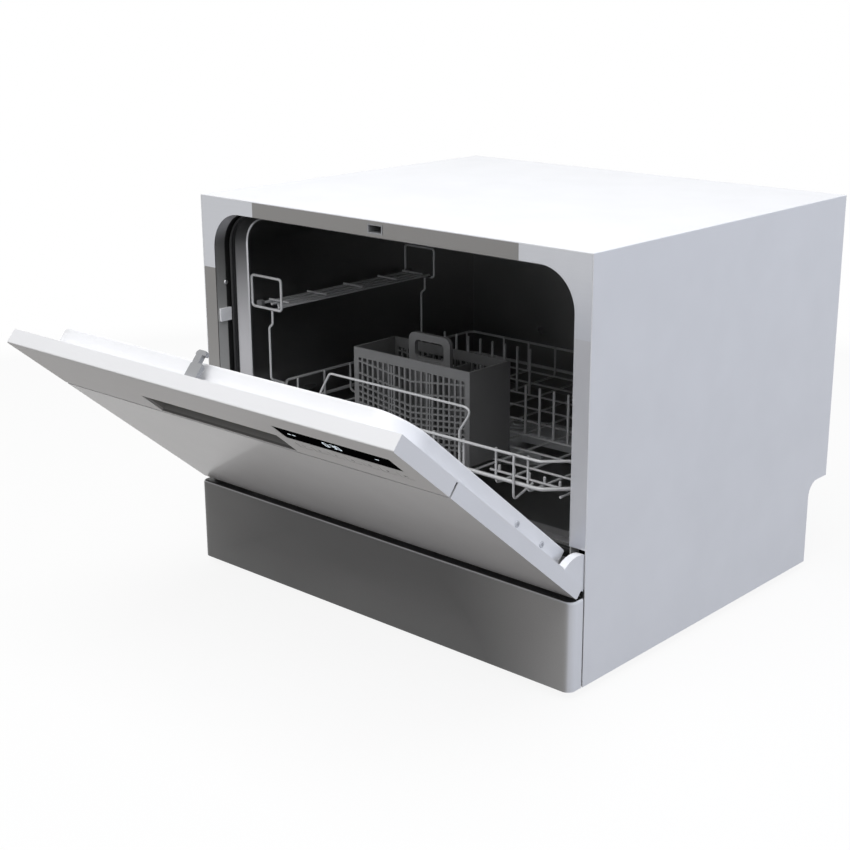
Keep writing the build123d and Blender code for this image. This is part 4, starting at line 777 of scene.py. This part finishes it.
# %% Rubber seal along the recess
SEAL_HALF = 254.9
SEAL_TOP = 412.4
SEAL_CORNER = 41.9
SEAL_FOOT_Z = 118.0
SEAL_SECTION = ((0.0, 27.9), (2.6, 27.9), (3.0, 26.4), (2.6, 25.0), (3.5, 24.0), (4.0, 22.4), (3.5, 20.8),
                (2.5, 20.0), (1.5, 20.6), (1.8, 22.4), (1.2, 24.2), (0.0, 25.0))


def arch_path(half, top, radius, foot, steps=12):
    """Points and inward directions along a door-shaped arch, from right foot to left foot."""
    path = [(half, foot, 180)]
    for centre, start in ((half - radius, 0), (-half + radius, 90)):
        for k in range(steps + 1):
            turn = start + 90 * k / steps
            x = centre + radius * math.cos(math.radians(turn))
            z = top - radius + radius * math.sin(math.radians(turn))
            path.append((x, z, turn + 180))
    path.append((-half, foot, 0))
    return path


bm = bmesh.new()
rings = []
for x, z, turn in arch_path(SEAL_HALF, SEAL_TOP, SEAL_CORNER, SEAL_FOOT_Z):
    inward = Vector((math.cos(math.radians(turn)), math.sin(math.radians(turn))))
    rings.append([bm.verts.new(at(x + inward.x * deep, y, z + inward.y * deep)) for deep, y in SEAL_SECTION])
skin(bm, rings)
mesh_piece("door_seal_profile", bm, "cabinet", seal_rubber, "black_rubber", "door_seal", smooth=50)
print("seal:", len(rings), "sections of", len(SEAL_SECTION), "points")

# %% [markdown]
# ## Screws
#
# A pan-head screw is a low dome with a cross pressed into it. The head is a few rings around the
# outline of the cross, and the inside of the cross is pushed down. All heads of one kind share an
# object, because they are one kind of part.


# %% Cross-recess screw heads
def screw_head(bm, centre, facing, radius, height):
    """A domed head with its flat side at centre, looking along facing."""
    turn = facing.to_track_quat("Z", "X").to_matrix()
    slim, long = 0.15, 0.52
    corners = [(long, -slim), (long, slim), (slim, slim), (slim, long), (-slim, long), (-slim, slim),
               (-long, slim), (-long, -slim), (-slim, -slim), (-slim, -long), (slim, -long), (slim, -slim)]
    cross = []
    for n, (u, v) in enumerate(corners):
        after = corners[(n + 1) % len(corners)]
        cross += [(u, v), ((u + after[0]) / 2, (v + after[1]) / 2)]
    count = len(cross)
    start = math.atan2(cross[0][1], cross[0][0])
    layers = []
    for size, lift in ((1.0, 0.0), (1.0, 0.35), (0.94, 0.6), (0.82, 0.82), (0.66, 0.96)):
        angles = [start + 2 * math.pi * n / count for n in range(count)]
        layers.append([(size * math.cos(a), size * math.sin(a), lift) for a in angles])
    layers.append([(u, v, 1.0) for u, v in cross])
    layers.append([(u * 0.8, v * 0.8, 0.25) for u, v in cross])
    rings = []
    for layer in layers:
        spots = [Vector((u * radius, v * radius, lift * height)) * MM for u, v, lift in layer]
        rings.append([bm.verts.new(centre + turn @ spot) for spot in spots])
    skin(bm, rings)


PLUG_X = 251.5
bm = bmesh.new()
for side in (-1, 1):
    for up in (58, 106):
        screw_head(bm, door_at(side * PLUG_X, up, 28), Vector((side, 0, 0)), 3.4, 1.0)
mesh_piece("door_screw_heads", bm, "door", screw_paint, "bright_stainless", "door_screws", smooth=40)
bm = bmesh.new()
for x in (-262, -90, 90, 262):
    for z in (114, 416):
        screw_head(bm, at(x, CABINET_D, z), Vector((0, 1, 0)), 3.6, 1.8)
for side in (-1, 1):
    screw_head(bm, at(side * 255, 14.4, 329.4), Vector((-side, 0, 0)), 3.0, 1.7)
mesh_piece("cabinet_screw_heads", bm, "cabinet", bright_steel, "bright_stainless", "cabinet_screws", smooth=40)
print("screws: 4 in the door, 10 in the cabinet")

# %% [markdown]
# ## Marks on the keys
#
# Each key carries a small printed mark. They are plain shapes of no particular maker: a ring with a
# bar, bars, dots, a triangle. Print has no thickness worth modelling, so each mark is a sheet just
# clear of its key, and it moves with it.

# %% Printed marks
KEY_UP = 264.0
KEY_PITCH = 20.8
PRINT_IN = 0.06


def ring_strip(radius, width, start, end, steps=20):
    """Quads of a ring or an arc, as lists of (across, up)."""
    quads = []
    for k in range(steps):
        angles = [math.radians(start + (end - start) * (k + j) / steps) for j in (0, 1)]
        inner, outer = radius - width / 2, radius + width / 2
        quad = [(inner * math.cos(angles[0]), inner * math.sin(angles[0])),
                (outer * math.cos(angles[0]), outer * math.sin(angles[0])),
                (outer * math.cos(angles[1]), outer * math.sin(angles[1])),
                (inner * math.cos(angles[1]), inner * math.sin(angles[1]))]
        quads.append(quad)
    return quads


def bar_mark(x0, x1, u0, u1):
    return [(x0, u0), (x1, u0), (x1, u1), (x0, u1)]


MARKS = {
    "power": ring_strip(1.7, 0.4, 125, 415) + [bar_mark(-0.2, 0.2, 0.4, 2.3)],
    "program": [bar_mark(-2, 2, u, u + 0.4) for u in (-1.6, -0.4, 0.8)],
    "extra": [bar_mark(-2, 2, -0.2, 0.2), bar_mark(-0.2, 0.2, -2, 2)],
    "half_load": ring_strip(1.7, 0.4, 0, 360) + [bar_mark(-1.7, 1.7, -0.2, 0.2)],
    "delay": ring_strip(1.8, 0.4, 0, 360) + [bar_mark(-0.2, 0.2, 0, 1.4), bar_mark(0, 1.1, -0.2, 0.2)],
    "lock": [bar_mark(-1.5, 1.5, -1.8, 0.2)] + ring_strip(1.0, 0.4, 0, 180, 12),
    "start": [[(-1.3, -1.7), (1.8, 0), (-1.3, 1.7)], bar_mark(2.2, 2.7, -1.7, 1.7)],
}
for n, (key, shapes) in enumerate(MARKS.items()):
    bm = bmesh.new()
    for shape in shapes:
        bm.faces.new([bm.verts.new(door_at(118 + n * KEY_PITCH + a, KEY_UP + b, PRINT_IN)) for a, b in shape])
    mark = mesh_piece(f"mark_{key}", bm, f"key_{key}", print_ink, "dark_plastic")
print(len(MARKS), "marks")

# %% [markdown]
# ## Camera
#
# The machine was seen from the front right and a little above, from about a metre and a half, with a
# lens of 64 mm on a 36 mm wide sensor. A small shift of the lens puts the machine where it stands in
# the picture.

# %% Camera at the picture's angle
CAMERA_PLACE = (1070.1, -1087.4, 679.6)
CAMERA_TURN = 41.52
CAMERA_DOWN = 16.67
camera_data = bpy.data.cameras.new("camera")
camera_data.sensor_width = 36
camera_data.lens = 64.0
camera_data.shift_x = -0.0343
camera_data.shift_y = -0.0111
camera = bpy.data.objects.new("camera", camera_data)
camera.location = at(*CAMERA_PLACE)
camera.rotation_euler = (math.radians(90 - CAMERA_DOWN), 0, math.radians(CAMERA_TURN))
bpy.context.scene.collection.objects.link(camera)
bpy.context.scene.camera = camera
print("camera at", [round(v, 3) for v in camera.location])

# %% [markdown]
# ## Floor and light
#
# A pale floor carries the machine's soft shadow and runs out into plain white. To the camera it is
# partly a light of its own, so it stays white between the lamps. To the machine it is darker, so
# the underside of the half-open door stays in its own shade. One large lamp hangs above and a little
# before the machine, and a weaker, cooler one stands to the right: the top is the brightest face,
# then the side, then the front.


# %% Floor, sky and lamps
def seen_directly(tree):
    """1 for rays that show the background: camera, mirror and glass rays."""
    path = tree.nodes.new("ShaderNodeLightPath")
    total = path.outputs["Is Camera Ray"]
    for name in ("Is Glossy Ray", "Is Transmission Ray"):
        total = combine(tree, "MAXIMUM", total, path.outputs[name])
    return total


FLOOR_SEEN = 0.86
FLOOR_GIVEN = (0.222, 0.205, 0.188)
FLOOR_SHADOW = 0.10
FLOOR_NEAR = 0.5
FLOOR_FAR = 1.5


def pale_floor():
    """White where it is seen, darker where it lights the machine."""
    finish, tree, shader = new_finish("pale_floor", 0.95, Specular_IOR_Level=0.0)
    seen = seen_directly(tree)
    tree.links.new(blend_colour(tree, seen, FLOOR_GIVEN, (FLOOR_SEEN,) * 3), shader.inputs["Base Color"])
    coords = tree.nodes.new("ShaderNodeTexCoord")
    length = tree.nodes.new("ShaderNodeVectorMath")
    length.operation = "LENGTH"
    tree.links.new(coords.outputs["Object"], length.inputs[0])
    away = ramp_value(tree, length.outputs["Value"], FLOOR_NEAR, FLOOR_FAR)
    glow = combine(tree, "MAXIMUM", away, 1 - FLOOR_SHADOW)
    glow = combine(tree, "MULTIPLY", glow, seen)
    white = tree.nodes.new("ShaderNodeEmission")
    mix = tree.nodes.new("ShaderNodeMixShader")
    tree.links.new(glow, mix.inputs["Fac"])
    tree.links.new(shader.outputs["BSDF"], mix.inputs[1])
    tree.links.new(white.outputs["Emission"], mix.inputs[2])
    tree.links.new(mix.outputs["Shader"], tree.nodes["Material Output"].inputs["Surface"])
    mesh = bpy.data.meshes.new("floor")
    half = 12
    mesh.from_pydata([(-half, -half, 0), (half, -half, 0), (half, half, 0), (-half, half, 0)], [], [(0, 1, 2, 3)])
    floor = bpy.data.objects.new("floor", mesh)
    bpy.context.scene.collection.objects.link(floor)
    mesh.materials.append(finish)


def white_sky(strength):
    world = bpy.data.worlds.new("sky")
    world.use_nodes = True
    tree = world.node_tree
    shader = tree.nodes["Background"]
    shader.inputs["Color"].default_value = (1, 1, 1, 1)
    level = tree.nodes.new("ShaderNodeMapRange")
    level.inputs["To Min"].default_value = strength
    level.inputs["To Max"].default_value = 1.0
    tree.links.new(seen_directly(tree), level.inputs["Value"])
    tree.links.new(level.outputs["Result"], shader.inputs["Strength"])
    bpy.context.scene.world = world


def lamp(name, place, aim, size, power, colour=(1, 1, 1)):
    data = bpy.data.lights.new(name, "AREA")
    data.shape = "SQUARE"
    data.size = size
    data.energy = power
    data.color = colour
    obj = bpy.data.objects.new(name, data)
    obj.location = place
    obj.rotation_euler = (Vector(aim) - Vector(place)).to_track_quat("-Z", "Y").to_euler()
    bpy.context.scene.collection.objects.link(obj)


pale_floor()
white_sky(0.28)
lamp("top_lamp", (0.1, -0.75, 2.4), (0, 0.0, 0.2), 2.2, 57)
lamp("side_lamp", (2.6, 0.3, 1.0), (0, 0.1, 0.2), 1.6, 26, (0.77, 0.84, 1.0))
print("floor, sky and lamps ready")

# %% Finish
view = bpy.context.scene.view_settings
view.view_transform = "Standard"
